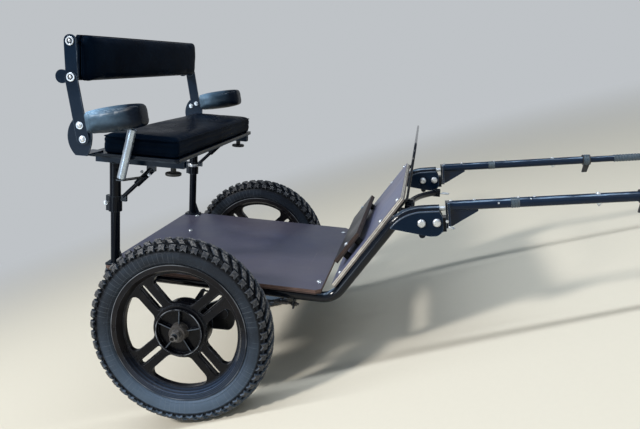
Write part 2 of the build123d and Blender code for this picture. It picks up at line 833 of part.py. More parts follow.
# Shaft bracket: two gusset plates that fill the rail's upper bend
bolt_places = [on_run(bracket_bolt_start + k * bracket_bolt_pitch, -bracket_bolt_depth) for k in (0, 1)]
bend_reach = upper_bend_radius * math.tan(math.radians(dash_angle - front_run_angle) / 2)
plate_back = along(upper_corner, dash_angle, -bend_reach - bracket_back)
with BuildSketch() as plate_outline:
    with BuildLine():
        FilletPolyline(plate_back, upper_corner, on_run(front_run), radius=upper_bend_radius)
        Line(on_run(front_run), on_run(bracket_reach, -tube_diameter / 2))
        FilletPolyline(
            on_run(bracket_reach, -tube_diameter / 2),
            on_run(bracket_reach, -bracket_depth),
            on_run(bracket_reach - bracket_flat, -bracket_depth),
            plate_back,
            radius=[bracket_corner, bracket_heel_radius],
        )
    make_face()
    with Locations(*bolt_places):
        Circle(bracket_bolt_diameter / 2 + fit_gap, mode=Mode.SUBTRACT)

with BuildPart() as shaft_bracket:
    for plate_y in (rail_y - tube_diameter / 2 - bracket_plate, rail_y + tube_diameter / 2):
        with BuildSketch(side_plane(-plate_y)):
            add(plate_outline.sketch)
        extrude(amount=bracket_plate)
save_both(shaft_bracket.part, "shaft_bracket")

# Bushing block between the plates, with its round stop and the flange that takes the shaft
stack_half = tube_diameter / 2 + bracket_plate
block_half = tube_diameter / 2 - bushing_side_gap
block_top = -tube_diameter / 2 - bushing_top_gap
block_low = block_top - bushing_height
with BuildPart() as shaft_bushing:
    with BuildSketch(side_plane(-rail_y + block_half)):
        with BuildLine():
            Polyline(
                on_run(bushing_start, block_top),
                on_run(flange_start, block_top),
                on_run(flange_start, block_low),
                on_run(bushing_start, block_low),
                close=True,
            )
        make_face()
        with Locations(on_run(bracket_bolt_start, block_low - stop_drop)):
            Circle(stop_diameter / 2)
        with Locations(*bolt_places):
            Circle(bracket_bolt_diameter / 2 + fit_gap, mode=Mode.SUBTRACT)
    extrude(amount=2 * block_half)
    with BuildSketch(cut_plane(on_run(flange_start, shaft_lift), front_run_angle, -rail_y)):
        with Locations((0, flange_top - flange_height / 2)):
            RectangleRounded(flange_width, flange_height, flange_thickness)
    extrude(amount=flange_thickness)
save_both(shaft_bushing.part, "shaft_bushing")

# Bracket bolts: shanks through the plates and the block, with a rounded head at each end
bolt_half = stack_half + fit_gap
head_height = bracket_bolt_diameter / 2
with BuildPart() as bracket_bolts:
    with BuildSketch(side_plane(-rail_y + bolt_half)):
        with Locations(*bolt_places):
            Circle(bracket_bolt_diameter / 2)
    extrude(amount=2 * bolt_half)
    for face in (-1, 1):
        with BuildSketch(side_plane(-rail_y - face * bolt_half)):
            with Locations(*bolt_places):
                Circle(bracket_bolt_head / 2)
        extrude(amount=face * head_height)
    heads = bracket_bolts.faces().filter_by(Axis.Y).filter_by(
        lambda face: abs(abs(face.center().Y + rail_y) - bolt_half - head_height) < 0.01
    )
    fillet(heads.edges(), head_height - 1.5)
    mirror(about=Plane.XZ)
save(bracket_bolts.part, "bracket_bolts")

# Shafts taper inwards a little, so each is drawn straight and then turned about its end plate
turn_line = Axis((shaft_start[0], -rail_y, 0), (0, 0, 1))
with BuildPart() as shaft:
    with BuildSketch(cut_plane(shaft_start, front_run_angle, -rail_y)):
        Circle(shaft_diameter / 2)
        Circle(shaft_diameter / 2 - shaft_wall, mode=Mode.SUBTRACT)
    extrude(amount=shaft_length)
    with BuildSketch(cut_plane(shaft_start, front_run_angle, -rail_y)):
        with Locations((0, flange_top - flange_height / 2)):
            RectangleRounded(flange_width, flange_height, flange_thickness)
    extrude(amount=-flange_thickness)
    with BuildSketch(side_plane(-rail_y + shaft_gusset_thickness / 2)):
        with BuildLine():
            gusset_top = 1 - shaft_diameter / 2
            gusset_low = flange_top - flange_height + 3
            Polyline(
                along(shaft_start, front_run_angle, 0, gusset_top),
                along(shaft_start, front_run_angle, shaft_gusset_length, gusset_top),
                along(shaft_start, front_run_angle, shaft_gusset_length, gusset_top - 6),
                along(shaft_start, front_run_angle, 6, gusset_low),
                along(shaft_start, front_run_angle, 0, gusset_low),
                close=True,
            )
        make_face()
    extrude(amount=shaft_gusset_thickness)
save_both(shaft.part.rotate(turn_line, shaft_taper), "shaft")

# Shaft tip: a thinner tube that slides into the shaft, droops and ends in a round cap
with BuildPart() as shaft_tip:
    with BuildLine(side_plane(-rail_y)) as tip_path:
        FilletPolyline(inner_start, tip_bend, tip_end, radius=shaft_tip_bend)
    with BuildSketch(Plane(tip_path.line @ 0, z_dir=tip_path.line % 0)):
        Circle(shaft_tip_diameter / 2)
    sweep()
    with Locations((tip_end[0], -rail_y, tip_end[1])):
        Sphere(shaft_cap_diameter / 2)
save_both(shaft_tip.part.rotate(turn_line, shaft_taper), "shaft_tip")

# Tug stops: a collar at each shaft's outer end with a hooked lug under it
stop_start = along(outer_end, front_run_angle, -tug_stop_width)
with BuildPart() as tug_stop:
    with BuildSketch(cut_plane(stop_start, front_run_angle, -rail_y)):
        Circle(shaft_diameter / 2 + tug_stop_wall)
        Circle(shaft_diameter / 2 + weld_gap, mode=Mode.SUBTRACT)
    extrude(amount=tug_stop_width)
    with BuildSketch(side_plane(-rail_y + tug_stop_wall)):
        with BuildLine():
            lug_top = -shaft_diameter / 2 - 3
            Polyline(
                along(stop_start, front_run_angle, 4, lug_top),
                along(stop_start, front_run_angle, tug_stop_width - 2, lug_top),
                along(stop_start, front_run_angle, tug_stop_width / 2, lug_top - tug_stop_drop),
                along(stop_start, front_run_angle, -4, lug_top - tug_stop_drop),
                close=True,
            )
        make_face()
    extrude(amount=2 * tug_stop_wall)
with BuildPart() as tug_stops:
    add(tug_stop.part.rotate(turn_line, shaft_taper))
    mirror(about=Plane.XZ)
save(tug_stops.part, "tug_stops")

# Swingletree arm: a flat tongue on the dash cross tube that carries the pivot pin
pivot_x = dash_cross[0] + swingletree_forward
arm_top_z = dash_cross[1] + swingletree_arm_thickness / 2
bar_z = arm_top_z + pivot_gap + swingletree_hub_height / 2
with BuildPart() as swingletree_arm:
    tongue_start = dash_cross[0] + cross_tube_diameter / 2 + weld_gap
    with BuildSketch(Plane.XY.offset(arm_top_z - swingletree_arm_thickness)):
        with Locations(((tongue_start + pivot_x) / 2, 0)):
            Rectangle(pivot_x - tongue_start, swingletree_arm_width)
        with Locations((pivot_x, 0)):
            Circle(swingletree_arm_width / 2)
    extrude(amount=swingletree_arm_thickness)
    with BuildSketch(Plane.XY.offset(arm_top_z)):
        with Locations((pivot_x, 0)):
            Circle(pivot_pin_diameter / 2)
    extrude(amount=swingletree_hub_height + 3 * pivot_gap)
    with BuildSketch(Plane.XY.offset(arm_top_z + swingletree_hub_height + 2 * pivot_gap)):
        with Locations((pivot_x, 0)):
            Circle(pivot_pin_diameter)
    extrude(amount=pivot_pin_diameter / 2)
save(swingletree_arm.part, "swingletree_arm")

bar_end_x = pivot_x + swingletree_sweep
with BuildPart() as swingletree:
    with BuildLine(Plane.XY.offset(bar_z)) as bar_path:
        ThreePointArc((bar_end_x, -swingletree_half), (pivot_x, 0), (bar_end_x, swingletree_half))
    with BuildSketch(Plane(bar_path.line @ 0, z_dir=bar_path.line % 0)):
        Circle(swingletree_diameter / 2)
    sweep()
    with Locations((pivot_x, 0, bar_z)):
        Cylinder(swingletree_hub_diameter / 2, swingletree_hub_height)
    with Locations((bar_end_x, -swingletree_half, bar_z), (bar_end_x, swingletree_half, bar_z)):
        Box(swingletree_block, swingletree_block - 4, swingletree_block)
    with Locations((pivot_x, 0, bar_z)):
        Cylinder(pivot_pin_diameter / 2 + bearing_gap, swingletree_hub_height, mode=Mode.SUBTRACT)
save(swingletree.part, "swingletree")

# Trace hooks: a bent wire out of each end block
hook_x = bar_end_x + swingletree_block / 2
with BuildPart() as trace_hooks:
    with BuildLine(Plane.XY.offset(bar_z)) as hook_path:
        hook_y = -swingletree_half
        FilletPolyline(
            (hook_x, hook_y + trace_hook_width / 2),
            (hook_x + trace_hook_length, hook_y + trace_hook_width / 2),
            (hook_x + trace_hook_length, hook_y - trace_hook_width / 2),
            (hook_x + trace_hook_width / 2, hook_y - trace_hook_width / 2),
            radius=trace_hook_width * 0.45,
        )
    with BuildSketch(Plane(hook_path.line @ 0, z_dir=hook_path.line % 0)):
        Circle(trace_hook_wire / 2)
    sweep()
    mirror(about=Plane.XZ)
save(trace_hooks.part, "trace_hooks")

# Seat posts: a lower tube on a base plate, and an upper tube that slides down over it
collar_bottom = floor_top + collar_rise
lower_r = post_lower_diameter / 2
upper_r = post_upper_diameter / 2
post_place = (post_x, -post_y)
with BuildPart() as seat_posts_lower:
    with BuildSketch(Plane.XY.offset(floor_top)):
        with Locations((post_x + post_base_shift, -post_y)):
            RectangleRounded(post_base_length, post_base_width, post_base_thickness)
    extrude(amount=post_base_thickness)
    with BuildSketch(Plane.XY.offset(floor_top + post_base_thickness)):
        with Locations(post_place):
            Circle(lower_r)
    extrude(amount=collar_rise + post_overlap - post_base_thickness)
    with BuildSketch(side_plane(-post_y + post_base_thickness / 2)):
        with BuildLine():
            gusset_foot = floor_top + post_base_thickness
            Polyline(
                (post_x + lower_r - 2, gusset_foot),
                (post_x + post_base_shift + post_base_length / 2 - 2, gusset_foot),
                (post_x + lower_r - 2, gusset_foot + post_gusset),
                close=True,
            )
        make_face()
    extrude(amount=post_base_thickness)
    mirror(about=Plane.XZ)
save(seat_posts_lower.part, "seat_posts_lower")

with BuildPart() as seat_posts_upper:
    with BuildSketch(Plane.XY.offset(collar_bottom + collar_step)):
        with Locations(post_place):
            Circle(upper_r)
            Circle(lower_r + fit_gap, mode=Mode.SUBTRACT)
    extrude(amount=rail_bottom - collar_bottom - collar_step)
    mirror(about=Plane.XZ)
save(seat_posts_upper.part, "seat_posts_upper")

# Collars clamp the two tubes; each has a split lug at the back
with BuildPart() as post_collars:
    with BuildSketch(Plane.XY.offset(collar_bottom)):
        with Locations(post_place):
            Circle(upper_r + collar_wall)
            with Locations((-upper_r - collar_wall, 0)):
                Rectangle(collar_lug_reach, collar_lug_width)
    extrude(amount=collar_height)
    with BuildSketch(Plane.XY.offset(collar_bottom)):
        with Locations(post_place):
            Circle(lower_r + fit_gap)
    extrude(amount=collar_step, mode=Mode.SUBTRACT)
    with BuildSketch(Plane.XY.offset(collar_bottom + collar_step)):
        with Locations(post_place):
            Circle(upper_r + fit_gap)
    extrude(amount=collar_height - collar_step, mode=Mode.SUBTRACT)
    mirror(about=Plane.XZ)
save(post_collars.part, "post_collars")

# Seat rails: square tubes under the board
with BuildPart() as seat_rails:
    with BuildSketch(Plane.YZ.offset(seat_rear)):
        with Locations((-post_y, seat_bottom - seat_rail_size / 2)):
            rail_bore = seat_rail_size - 2 * seat_rail_wall
            Rectangle(seat_rail_size, seat_rail_size)
            Rectangle(rail_bore, rail_bore, mode=Mode.SUBTRACT)
    extrude(amount=seat_depth)
    mirror(about=Plane.XZ)
save(seat_rails.part, "seat_rails")

# Braces: a rod from the collar that slides in a sleeve from the seat rail
brace_low = (post_x + upper_r + collar_wall + fit_gap, collar_bottom + collar_height - 8)
brace_high = (post_x + brace_reach, rail_bottom)
brace_angle = math.degrees(math.atan2(brace_high[1] - brace_low[1], brace_high[0] - brace_low[0]))
brace_length = math.hypot(brace_high[0] - brace_low[0], brace_high[1] - brace_low[1])
with BuildPart() as seat_braces:
    with BuildSketch(cut_plane(along(brace_low, brace_angle, 8), brace_angle, -post_y)):
        Circle(brace_rod_diameter / 2)
    extrude(amount=brace_length - 24)
    sleeve_start = along(brace_low, brace_angle, brace_length * (1 - brace_sleeve_share))
    with BuildSketch(cut_plane(sleeve_start, brace_angle, -post_y)):
        Circle(brace_sleeve_diameter / 2)
    extrude(amount=brace_length * brace_sleeve_share - 17)
    with BuildSketch(side_plane(-post_y + brace_lug_thickness / 2)):
        with BuildLine():
            Polyline(
                along(brace_low, 0, 0, 9),
                along(brace_low, 0, 18, 9),
                along(brace_low, 0, 18, -9),
                along(brace_low, 0, 0, -9),
                close=True,
            )
        make_face()
        with BuildLine():
            Polyline(
                brace_high,
                along(brace_high, 0, -30),
                along(brace_high, 0, -30, -18),
                along(brace_high, 0, 0, -18),
                close=True,
            )
        make_face()
    extrude(amount=brace_lug_thickness)
    mirror(about=Plane.XZ)
save(seat_braces.part, "seat_braces")

# Hand knobs that lock the seat's slide
with BuildPart() as seat_knobs:
    knob_place = (seat_front - knob_inset, -post_y)
    with BuildSketch(Plane.XY.offset(rail_bottom - knob_stem_length - knob_height)):
        with Locations(knob_place):
            Circle(knob_diameter / 2)
    extrude(amount=knob_height)
    fillet(seat_knobs.edges(), knob_height / 3)
    with BuildSketch(Plane.XY.offset(rail_bottom - knob_stem_length)):
        with Locations(knob_place):
            Circle(knob_stem_diameter / 2)
    extrude(amount=knob_stem_length)
    mirror(about=Plane.XZ)
save(seat_knobs.part, "seat_knobs")

# Seat board and cushion
with BuildPart() as seat_board:
    with BuildSketch(Plane.XY.offset(seat_bottom)):
        with Locations((seat_rear + seat_depth / 2, 0)):
            RectangleRounded(seat_depth, 2 * seat_half, seat_board_thickness)
    extrude(amount=seat_board_thickness)
save(seat_board.part, "seat_board")

cushion_rear = seat_rear + cushion_inset
with BuildPart() as seat_cushion:
    with BuildSketch(Plane.XY.offset(seat_top + fit_gap)):
        with Locations(((cushion_rear + seat_front) / 2, 0)):
            RectangleRounded(seat_front - cushion_rear, 2 * seat_half, cushion_corner)
    extrude(amount=cushion_height - fit_gap)
    fillet(seat_cushion.edges().group_by(Axis.Z)[-1], cushion_corner * 0.55)
save(seat_cushion.part, "seat_cushion")

# Side plates: a rounded ear each side, with a flange back to the board and a rod for the armrest
side_plate_y = seat_half + side_plate_standoff
plate_x = seat_rear + side_plate_foot / 2 - 2
armrest_y = side_plate_y + side_plate_thickness
plate_z = seat_top + side_plate_height / 2
armrest_root = (plate_x + side_plate_foot / 2 + 10, seat_top + side_plate_height - 7)
with BuildPart() as side_plates:
    with BuildSketch(side_plane(-side_plate_y)):
        with BuildLine():
            foot_rear = (plate_x - side_plate_foot / 2, seat_top)
            foot_front = (plate_x + side_plate_foot / 2, seat_top)
            top_front = (plate_x + side_plate_front, seat_top + side_plate_height - 4)
            top_rear = (plate_x - side_plate_rear, seat_top + side_plate_height)
            Line(foot_rear, foot_front)
            ThreePointArc(foot_front, (plate_x + side_plate_front_bulge, plate_z), top_front)
            Line(top_front, top_rear)
            ThreePointArc(top_rear, (plate_x - side_plate_rear_bulge, plate_z), foot_rear)
        make_face()
    extrude(amount=side_plate_thickness)
    flange_inner = seat_half - side_plate_lap
    flange_outer = side_plate_y + side_plate_thickness
    with BuildSketch(Plane.XY.offset(seat_top)):
        with Locations((plate_x, -(flange_inner + flange_outer) / 2)):
            Rectangle(side_plate_foot, flange_outer - flange_inner)
    extrude(amount=side_plate_flange)
    with BuildSketch(cut_plane(along(armrest_root, armrest_tilt, -6), armrest_tilt, -armrest_y)):
        Circle(armrest_rod_diameter / 2)
    extrude(amount=armrest_rod_length)
    mirror(about=Plane.XZ)
save(side_plates.part, "seat_side_plates")

# Armrests: padded rolls over the rods
with BuildPart() as armrest:
    with BuildSketch(cut_plane(along(armrest_root, armrest_tilt, 2), armrest_tilt, -armrest_y)):
        Circle(armrest_diameter / 2)
    extrude(amount=armrest_length)
    fillet(armrest.faces().sort_by(Axis.X)[-1].edges(), armrest_diameter / 7)
    with BuildSketch(cut_plane(along(armrest_root, armrest_tilt, 0), armrest_tilt, -armrest_y)):
        Circle(armrest_rod_diameter / 2 + fit_gap)
    extrude(amount=armrest_rod_length, mode=Mode.SUBTRACT)
save_both(armrest.part, "armrest")

# Backrest bars: a lower bar bolted to each side plate, and an upper bar hinged on it
lower_bolt = (seat_rear + upright_bolt_inset, seat_top + upright_bolt_rise)
hinge = along(lower_bolt, upright_angle, upright_reach)
top_bolt = along(hinge, back_bar_angle, back_bar_reach)
bar_out_y = side_plate_y + side_plate_thickness
with BuildPart() as uprights_lower:
    with BuildSketch(side_plane(-bar_out_y)):
        middle = along(lower_bolt, upright_angle, upright_reach / 2)
        with Locations(Location((middle[0], middle[1], 0), (0, 0, upright_angle))):
            SlotOverall(upright_reach + upright_width - 8, upright_width)
    extrude(amount=side_plate_thickness)
    mirror(about=Plane.XZ)
save(uprights_lower.part, "back_uprights_lower")

back_tube_place = (hinge[0] - back_tube_offset, hinge[1])
with BuildPart() as uprights_upper:
    with BuildSketch(side_plane(-side_plate_y)):
        middle = along(hinge, back_bar_angle, back_bar_reach / 2)
        with Locations(Location((middle[0], middle[1], 0), (0, 0, back_bar_angle))):
            SlotOverall(back_bar_reach + upright_width, upright_width)
        with Locations(back_tube_place):
            Circle(back_lug_diameter / 2)
        with Locations(((hinge[0] + back_tube_place[0]) / 2, hinge[1])):
            Rectangle(back_tube_offset, back_tube_diameter)
    extrude(amount=side_plate_thickness)
    mirror(about=Plane.XZ)
save(uprights_upper.part, "back_uprights_upper")

with BuildPart() as back_tube:
    with BuildSketch(side_plane(side_plate_y)):
        with Locations(back_tube_place):
            Circle(back_tube_diameter / 2)
            Circle(back_tube_diameter / 2 - back_tube_wall, mode=Mode.SUBTRACT)
    extrude(amount=2 * side_plate_y)
save(back_tube.part, "back_tube")

# Backrest board with its four pins into the bars, and the backrest cushion
backrest_half = side_plate_y - backrest_gap
backrest_z = hinge[1] - backrest_drop + backrest_height / 2
board_x = (hinge[0] + top_bolt[0]) / 2 - backrest_board_thickness / 2
with BuildPart() as backrest_board:
    with BuildSketch(Plane.YZ.offset(board_x)):
        with Locations((0, backrest_z)):
            RectangleRounded(2 * backrest_half - 20, backrest_height - 10, 10)
    extrude(amount=backrest_board_thickness)
    pin_x = board_x + backrest_board_thickness / 2
    with BuildSketch(side_plane(side_plate_y - fit_gap)):
        with Locations((pin_x, hinge[1]), (pin_x, top_bolt[1])):
            Circle(backrest_board_thickness / 2)
    extrude(amount=2 * (side_plate_y - fit_gap))
save(backrest_board.part, "backrest_board")

with BuildPart() as backrest_cushion:
    with BuildSketch(Plane.YZ.offset(board_x + backrest_board_thickness + fit_gap)):
        with Locations((0, backrest_z)):
            RectangleRounded(2 * backrest_half, backrest_height, backrest_corner)
    extrude(amount=backrest_cushion_thickness - fit_gap)
    fillet(backrest_cushion.edges().group_by(Axis.X)[-1], backrest_corner - 2)
save(backrest_cushion.part, "backrest_cushion")

# Whip holder: an open tube with a floor, on a flat arm from the right brace
whip_y = -(seat_half + whip_tube_standoff)
whip_foot = (post_x + whip_tube_forward, seat_bottom - whip_tube_below_seat)
with BuildPart() as whip_holder:
    with BuildSketch(cut_plane(whip_foot, whip_tube_tilt, whip_y)):
        Circle(whip_tube_diameter / 2)
    extrude(amount=whip_tube_length)
    with BuildSketch(cut_plane(along(whip_foot, whip_tube_tilt, whip_tube_floor), whip_tube_tilt, whip_y)):
        Circle(whip_bore_diameter / 2)
    extrude(amount=whip_tube_length, mode=Mode.SUBTRACT)
save(whip_holder.part, "whip_holder")

tube_dip = whip_tube_diameter / 2 * math.cos(math.radians(whip_tube_tilt)) + fit_gap
arm_level = whip_foot[1] - tube_dip
brace_run = (arm_level - brace_low[1]) / math.tan(math.radians(brace_angle))
brace_side_y = -post_y - brace_sleeve_diameter / 2 - fit_gap
with BuildPart() as whip_holder_arm:
    with BuildSketch(Plane.XY.offset(arm_level - whip_arm_thickness)):
        with BuildLine():
            tube_x = whip_foot[0]
            brace_x = brace_low[0] + brace_run
            Polyline(
                (tube_x - whip_arm_width / 2, whip_y - whip_arm_width / 2),
                (tube_x + whip_arm_width / 2, whip_y - whip_arm_width / 2),
                (brace_x + whip_arm_width / 2, brace_side_y),
                (brace_x - whip_arm_width / 2, brace_side_y),
                close=True,
            )
        make_face()
    extrude(amount=whip_arm_thickness)
save(whip_holder_arm.part, "whip_holder_arm")
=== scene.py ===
"""Looks of the parked pony cart: knobbly tyres, padded seat, bolts, welds and every finish.

The cart is described level and in millimetres, as it is drawn, and `tipped` turns each point nose
down about the axle and into metres, which is how the cart parks. X runs forward, Y to the cart's
left and Z up.
"""

import math
from functools import reduce

import bmesh
import bpy
import numpy as np
from mathutils import Matrix, Vector


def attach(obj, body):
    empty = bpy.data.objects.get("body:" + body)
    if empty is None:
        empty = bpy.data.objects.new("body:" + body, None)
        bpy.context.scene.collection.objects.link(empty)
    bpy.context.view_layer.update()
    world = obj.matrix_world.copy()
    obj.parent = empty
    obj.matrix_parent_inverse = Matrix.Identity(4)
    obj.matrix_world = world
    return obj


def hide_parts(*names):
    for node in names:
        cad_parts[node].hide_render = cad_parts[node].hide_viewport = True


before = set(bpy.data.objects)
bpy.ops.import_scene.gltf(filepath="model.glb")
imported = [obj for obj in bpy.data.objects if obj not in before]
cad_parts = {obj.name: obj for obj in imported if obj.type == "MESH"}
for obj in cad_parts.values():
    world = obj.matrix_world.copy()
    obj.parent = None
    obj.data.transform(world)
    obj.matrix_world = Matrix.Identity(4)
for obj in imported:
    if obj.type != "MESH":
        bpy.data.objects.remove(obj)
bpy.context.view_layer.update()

# Sizes of the level cart, in millimetres and degrees
AXLE_HEIGHT = 300.0
PARK_ANGLE = 19.841
WHEEL_Y = 475.0
RAIL_Y = 345.0
RAIL_Z = 411.5
TUBE_R = 17.5
CROSS_R = 15.0
FLOOR_TOP = 444.0
DASH_FOOT = (440.0, 444.0)
DASH_ANGLE = 57.0
DASH_THICKNESS = 15.0
DASH_RUN = 365.0
FOOT_TOP = 35.0
RUN_ANGLE = 8.5
POST_X = -287.0
POST_Y = 352.0
SEAT_TOP = 828.0
SEAT_REAR = -350.0
SEAT_FRONT = -46.0
SEAT_HALF = 413.0
PLATE_Y = 473.0
LOWER_BOLT = (-324.5, 880.0)
HINGE = (-361.7, 1066.3)
TOP_BOLT = (-366.8, 1173.2)
ARM_ROOT = (-304.0, 933.0)
ARM_TILT = 11.8
SHAFT_R = 15.0
SHAFT_TAPER = 0.8
TIP_R = 12.5
TIP_GRIP = (652, 900)
UPPER_BEND = 130.0
PLATE_RUN_IN = 2.0
PLATE_RUN_OUT = 50.2
PLATE_OUT = 20.0
REAR_CROSS_X = -277.0
FRONT_CROSS_X = 330.0
BAR_OUT = 485.0
FLANGE_HALF = 23.0
AXLE_END_Y = 545.0
POST_WELD_R = 15.6
POST_WELD_RISE = 6.4
WELD_STEP = 1.6
SEAT_PAD_REAR = SEAT_REAR + 40
SEAT_PAD_HEIGHT = 58.0
BACK_FACE = -358.0
BACK_Z = 1124.3
BACK_HALF = (72.0, 449.0)
BACK_PAD_DEPTH = 34.0
ARM_Y = PLATE_Y + 6
ARM_R = 36.0

# The two sides of the cart: name and sign of Y
SIDES = (("left", 1), ("right", -1))

SWAY = math.radians(PARK_ANGLE)
TIP = np.array([[math.cos(SWAY), 0, math.sin(SWAY)], [0, 1, 0], [-math.sin(SWAY), 0, math.cos(SWAY)]])
PIVOT = np.array([0, 0, AXLE_HEIGHT])


def tipped(points):
    """Turns level points nose down about the axle and gives them in metres."""
    return ((np.asarray(points, float) - PIVOT) @ TIP.T + PIVOT) / 1000


def tipped_way(direction):
    """Turns a level direction nose down."""
    return tuple(TIP @ np.asarray(direction, float))


def along(start, angle, distance, offset=0.0):
    """Point in the XZ plane at a distance along a sloping line, and an offset above the line."""
    a = math.radians(angle)
    return (
        start[0] + distance * math.cos(a) - offset * math.sin(a),
        start[1] + distance * math.sin(a) + offset * math.cos(a),
    )


# The rail's centre line and the shaft's, as they are drawn
TUBE_LINE = along(DASH_FOOT, DASH_ANGLE, 0, -(DASH_THICKNESS + TUBE_R))
LOWER_CORNER = along(TUBE_LINE, DASH_ANGLE, (RAIL_Z - TUBE_LINE[1]) / math.sin(math.radians(DASH_ANGLE)))
UPPER_CORNER = along(LOWER_CORNER, DASH_ANGLE, DASH_RUN)
DASH_CROSS = along(TUBE_LINE, DASH_ANGLE, 255)
SHAFT_START = along(UPPER_CORNER, RUN_ANGLE, 140.7, 12)
DRIVER_WAY = (-math.sin(math.radians(DASH_ANGLE)), 0, math.cos(math.radians(DASH_ANGLE)))
RUN_WAY = (math.cos(math.radians(RUN_ANGLE)), 0, math.sin(math.radians(RUN_ANGLE)))


def on_shaft(distance, side):
    """Middle of a shaft at a distance from its end plate: the shafts lean inwards by their taper."""
    x, z = along(SHAFT_START, RUN_ANGLE, distance)
    a = math.radians(SHAFT_TAPER)
    out = x - SHAFT_START[0]
    return np.array([SHAFT_START[0] + out * math.cos(a), side * (RAIL_Y - out * math.sin(a)), z])


def bent_line(corner, angle_in, angle_out, radius, run_in, run_out, count=28):
    """Straight, arc, straight: the heading turns evenly from one angle to the other, and the arc's
    points are the running sums of its cosine and sine, which are sine and minus cosine of the heading."""
    a = np.radians(np.linspace(angle_in, angle_out, count))
    bend = radius * (1 if angle_out > angle_in else -1)
    reach = radius * math.tan(abs(a[-1] - a[0]) / 2)
    x, z = along(corner, angle_in, -reach)
    arc = np.stack([x + bend * (np.sin(a) - math.sin(a[0])), z - bend * (np.cos(a) - math.cos(a[0]))], axis=1)
    first = along(corner, angle_in, -reach - run_in)
    last = along(corner, angle_out, reach + run_out)
    return np.concatenate([[first], arc, [last]])


# Surfaces


def grid_faces(rows, columns, loop_rows=False, loop_columns=False):
    """Quads of a grid of points: each joins a point, its right neighbour and the two above."""
    high, wide = rows - (not loop_rows), columns - (not loop_columns)
    r, c = np.meshgrid(np.arange(high), np.arange(wide), indexing="ij")
    up, over = (r + 1) % rows, (c + 1) % columns
    quads = (r * columns + c, r * columns + over, up * columns + over, up * columns + c)
    return np.stack(quads, axis=-1).reshape(-1, 4)


def gathered(parts):
    """Joins (points, faces) pairs into one pair, shifting each part's face numbers."""
    starts = np.cumsum([0] + [len(p) for p, _ in parts[:-1]])
    faces = np.concatenate([quads + start for (_, quads), start in zip(parts, starts)])
    return np.concatenate([p for p, _ in parts]), faces


def repeated(points, faces, axes, origins):
    """Copies one small shape into many frames at once: points times each frame's axes plus its origin."""
    many = np.einsum("pk,nkj->npj", points, axes) + origins[:, None, :]
    shift = np.arange(len(origins))[:, None, None] * len(points)
    return many.reshape(-1, 3), (faces[None] + shift).reshape(-1, 4)


def axes_along(ways, spin):
    """Axes whose Z runs along each way; X is square to it, turned by spin about it."""
    z = ways / np.linalg.norm(ways, axis=1, keepdims=True)
    side = np.where(np.abs(z[:, :1]) > 0.9, [[0.0, 1.0, 0.0]], [[1.0, 0.0, 0.0]])
    x = np.cross(side, z)
    x /= np.linalg.norm(x, axis=1, keepdims=True)
    x = x * np.cos(spin)[:, None] + np.cross(z, x) * np.sin(spin)[:, None]
    return np.stack([x, np.cross(z, x), z], axis=1)


def turned(profile, count):
    """Revolves a profile of (radius, height) about Z. A third column is 1 where the ring is a hexagon: its
    flat's distance is divided by the cosine of the angle from the nearest flat's middle."""
    t = np.linspace(0, 2 * np.pi, count, endpoint=False)
    r = np.repeat(profile[:, :1], count, axis=1)
    if profile.shape[1] > 2:
        step = 2 * np.pi / 6
        flat = 1 / np.cos((t + step / 2) % step - step / 2)
        r = np.where(profile[:, 2:3] > 0, r * flat, r)
    h = np.repeat(profile[:, 1:2], count, axis=1)
    points = np.stack([r * np.cos(t), r * np.sin(t), h], axis=-1).reshape(-1, 3)
    return points, grid_faces(len(profile), count, loop_columns=True)


def smooth_line(points, per_span):
    """Catmull-Rom curve through the points: each span blends its four nearest points by cubic weights."""
    p = np.asarray(points, float)
    ends = np.concatenate([[2 * p[0] - p[1]], p, [2 * p[-1] - p[-2]]])
    a, b, c, d = (s[:, None, :] for s in (ends[:-3], ends[1:-2], ends[2:-1], ends[3:]))
    t = np.linspace(0, 1, per_span, endpoint=False)[None, :, None]
    line = 0.5 * (2 * b + (c - a) * t + (2 * a - 5 * b + 4 * c - d) * t**2 + (3 * b - a - 3 * c + d) * t**3)
    return np.concatenate([line.reshape(-1, 2), p[-1:]])


def tube_along(path, radius, sides, loop=False):
    """Sweeps a circle along a path: at each point two axes square to the path carry cos and sin. An open
    path's tube is shut by a point at each end."""
    way = np.roll(path, -1, 0) - np.roll(path, 1, 0) if loop else np.gradient(path, axis=0)
    way /= np.linalg.norm(way, axis=1, keepdims=True)
    first = np.cross(way, np.eye(3)[np.argmin(np.abs(way).mean(0))])
    first /= np.linalg.norm(first, axis=1, keepdims=True)
    second = np.cross(way, first)
    t = np.linspace(0, 2 * np.pi, sides, endpoint=False)
    r = np.broadcast_to(radius, len(path))
    ring = first[:, None] * np.cos(t)[None, :, None] + second[:, None] * np.sin(t)[None, :, None]
    points = path[:, None] + ring * r[:, None, None]
    if not loop:
        ends = np.repeat(path[[0, -1], None], sides, 1)
        points = np.concatenate([ends[:1], points, ends[1:]])
    return points.reshape(-1, 3), grid_faces(len(points), sides, loop_rows=loop, loop_columns=True)


def evenly(line, step, loop=False):
    """The same line with its points a step apart, and how far along it each of them lies."""
    if loop:
        line = np.concatenate([line, line[:1]])
    run = np.concatenate([[0], np.cumsum(np.linalg.norm(np.diff(line, axis=0), axis=1))])
    even = np.linspace(0, run[-1], max(int(run[-1] / step), 12), endpoint=not loop)
    return np.stack([np.interp(even, run, line[:, k]) for k in range(3)], axis=1), even


def shown(name, data):
    """Puts a mesh, a lamp or a camera into the scene."""
    made = bpy.data.objects.new(name, data)
    bpy.context.scene.collection.objects.link(made)
    return made


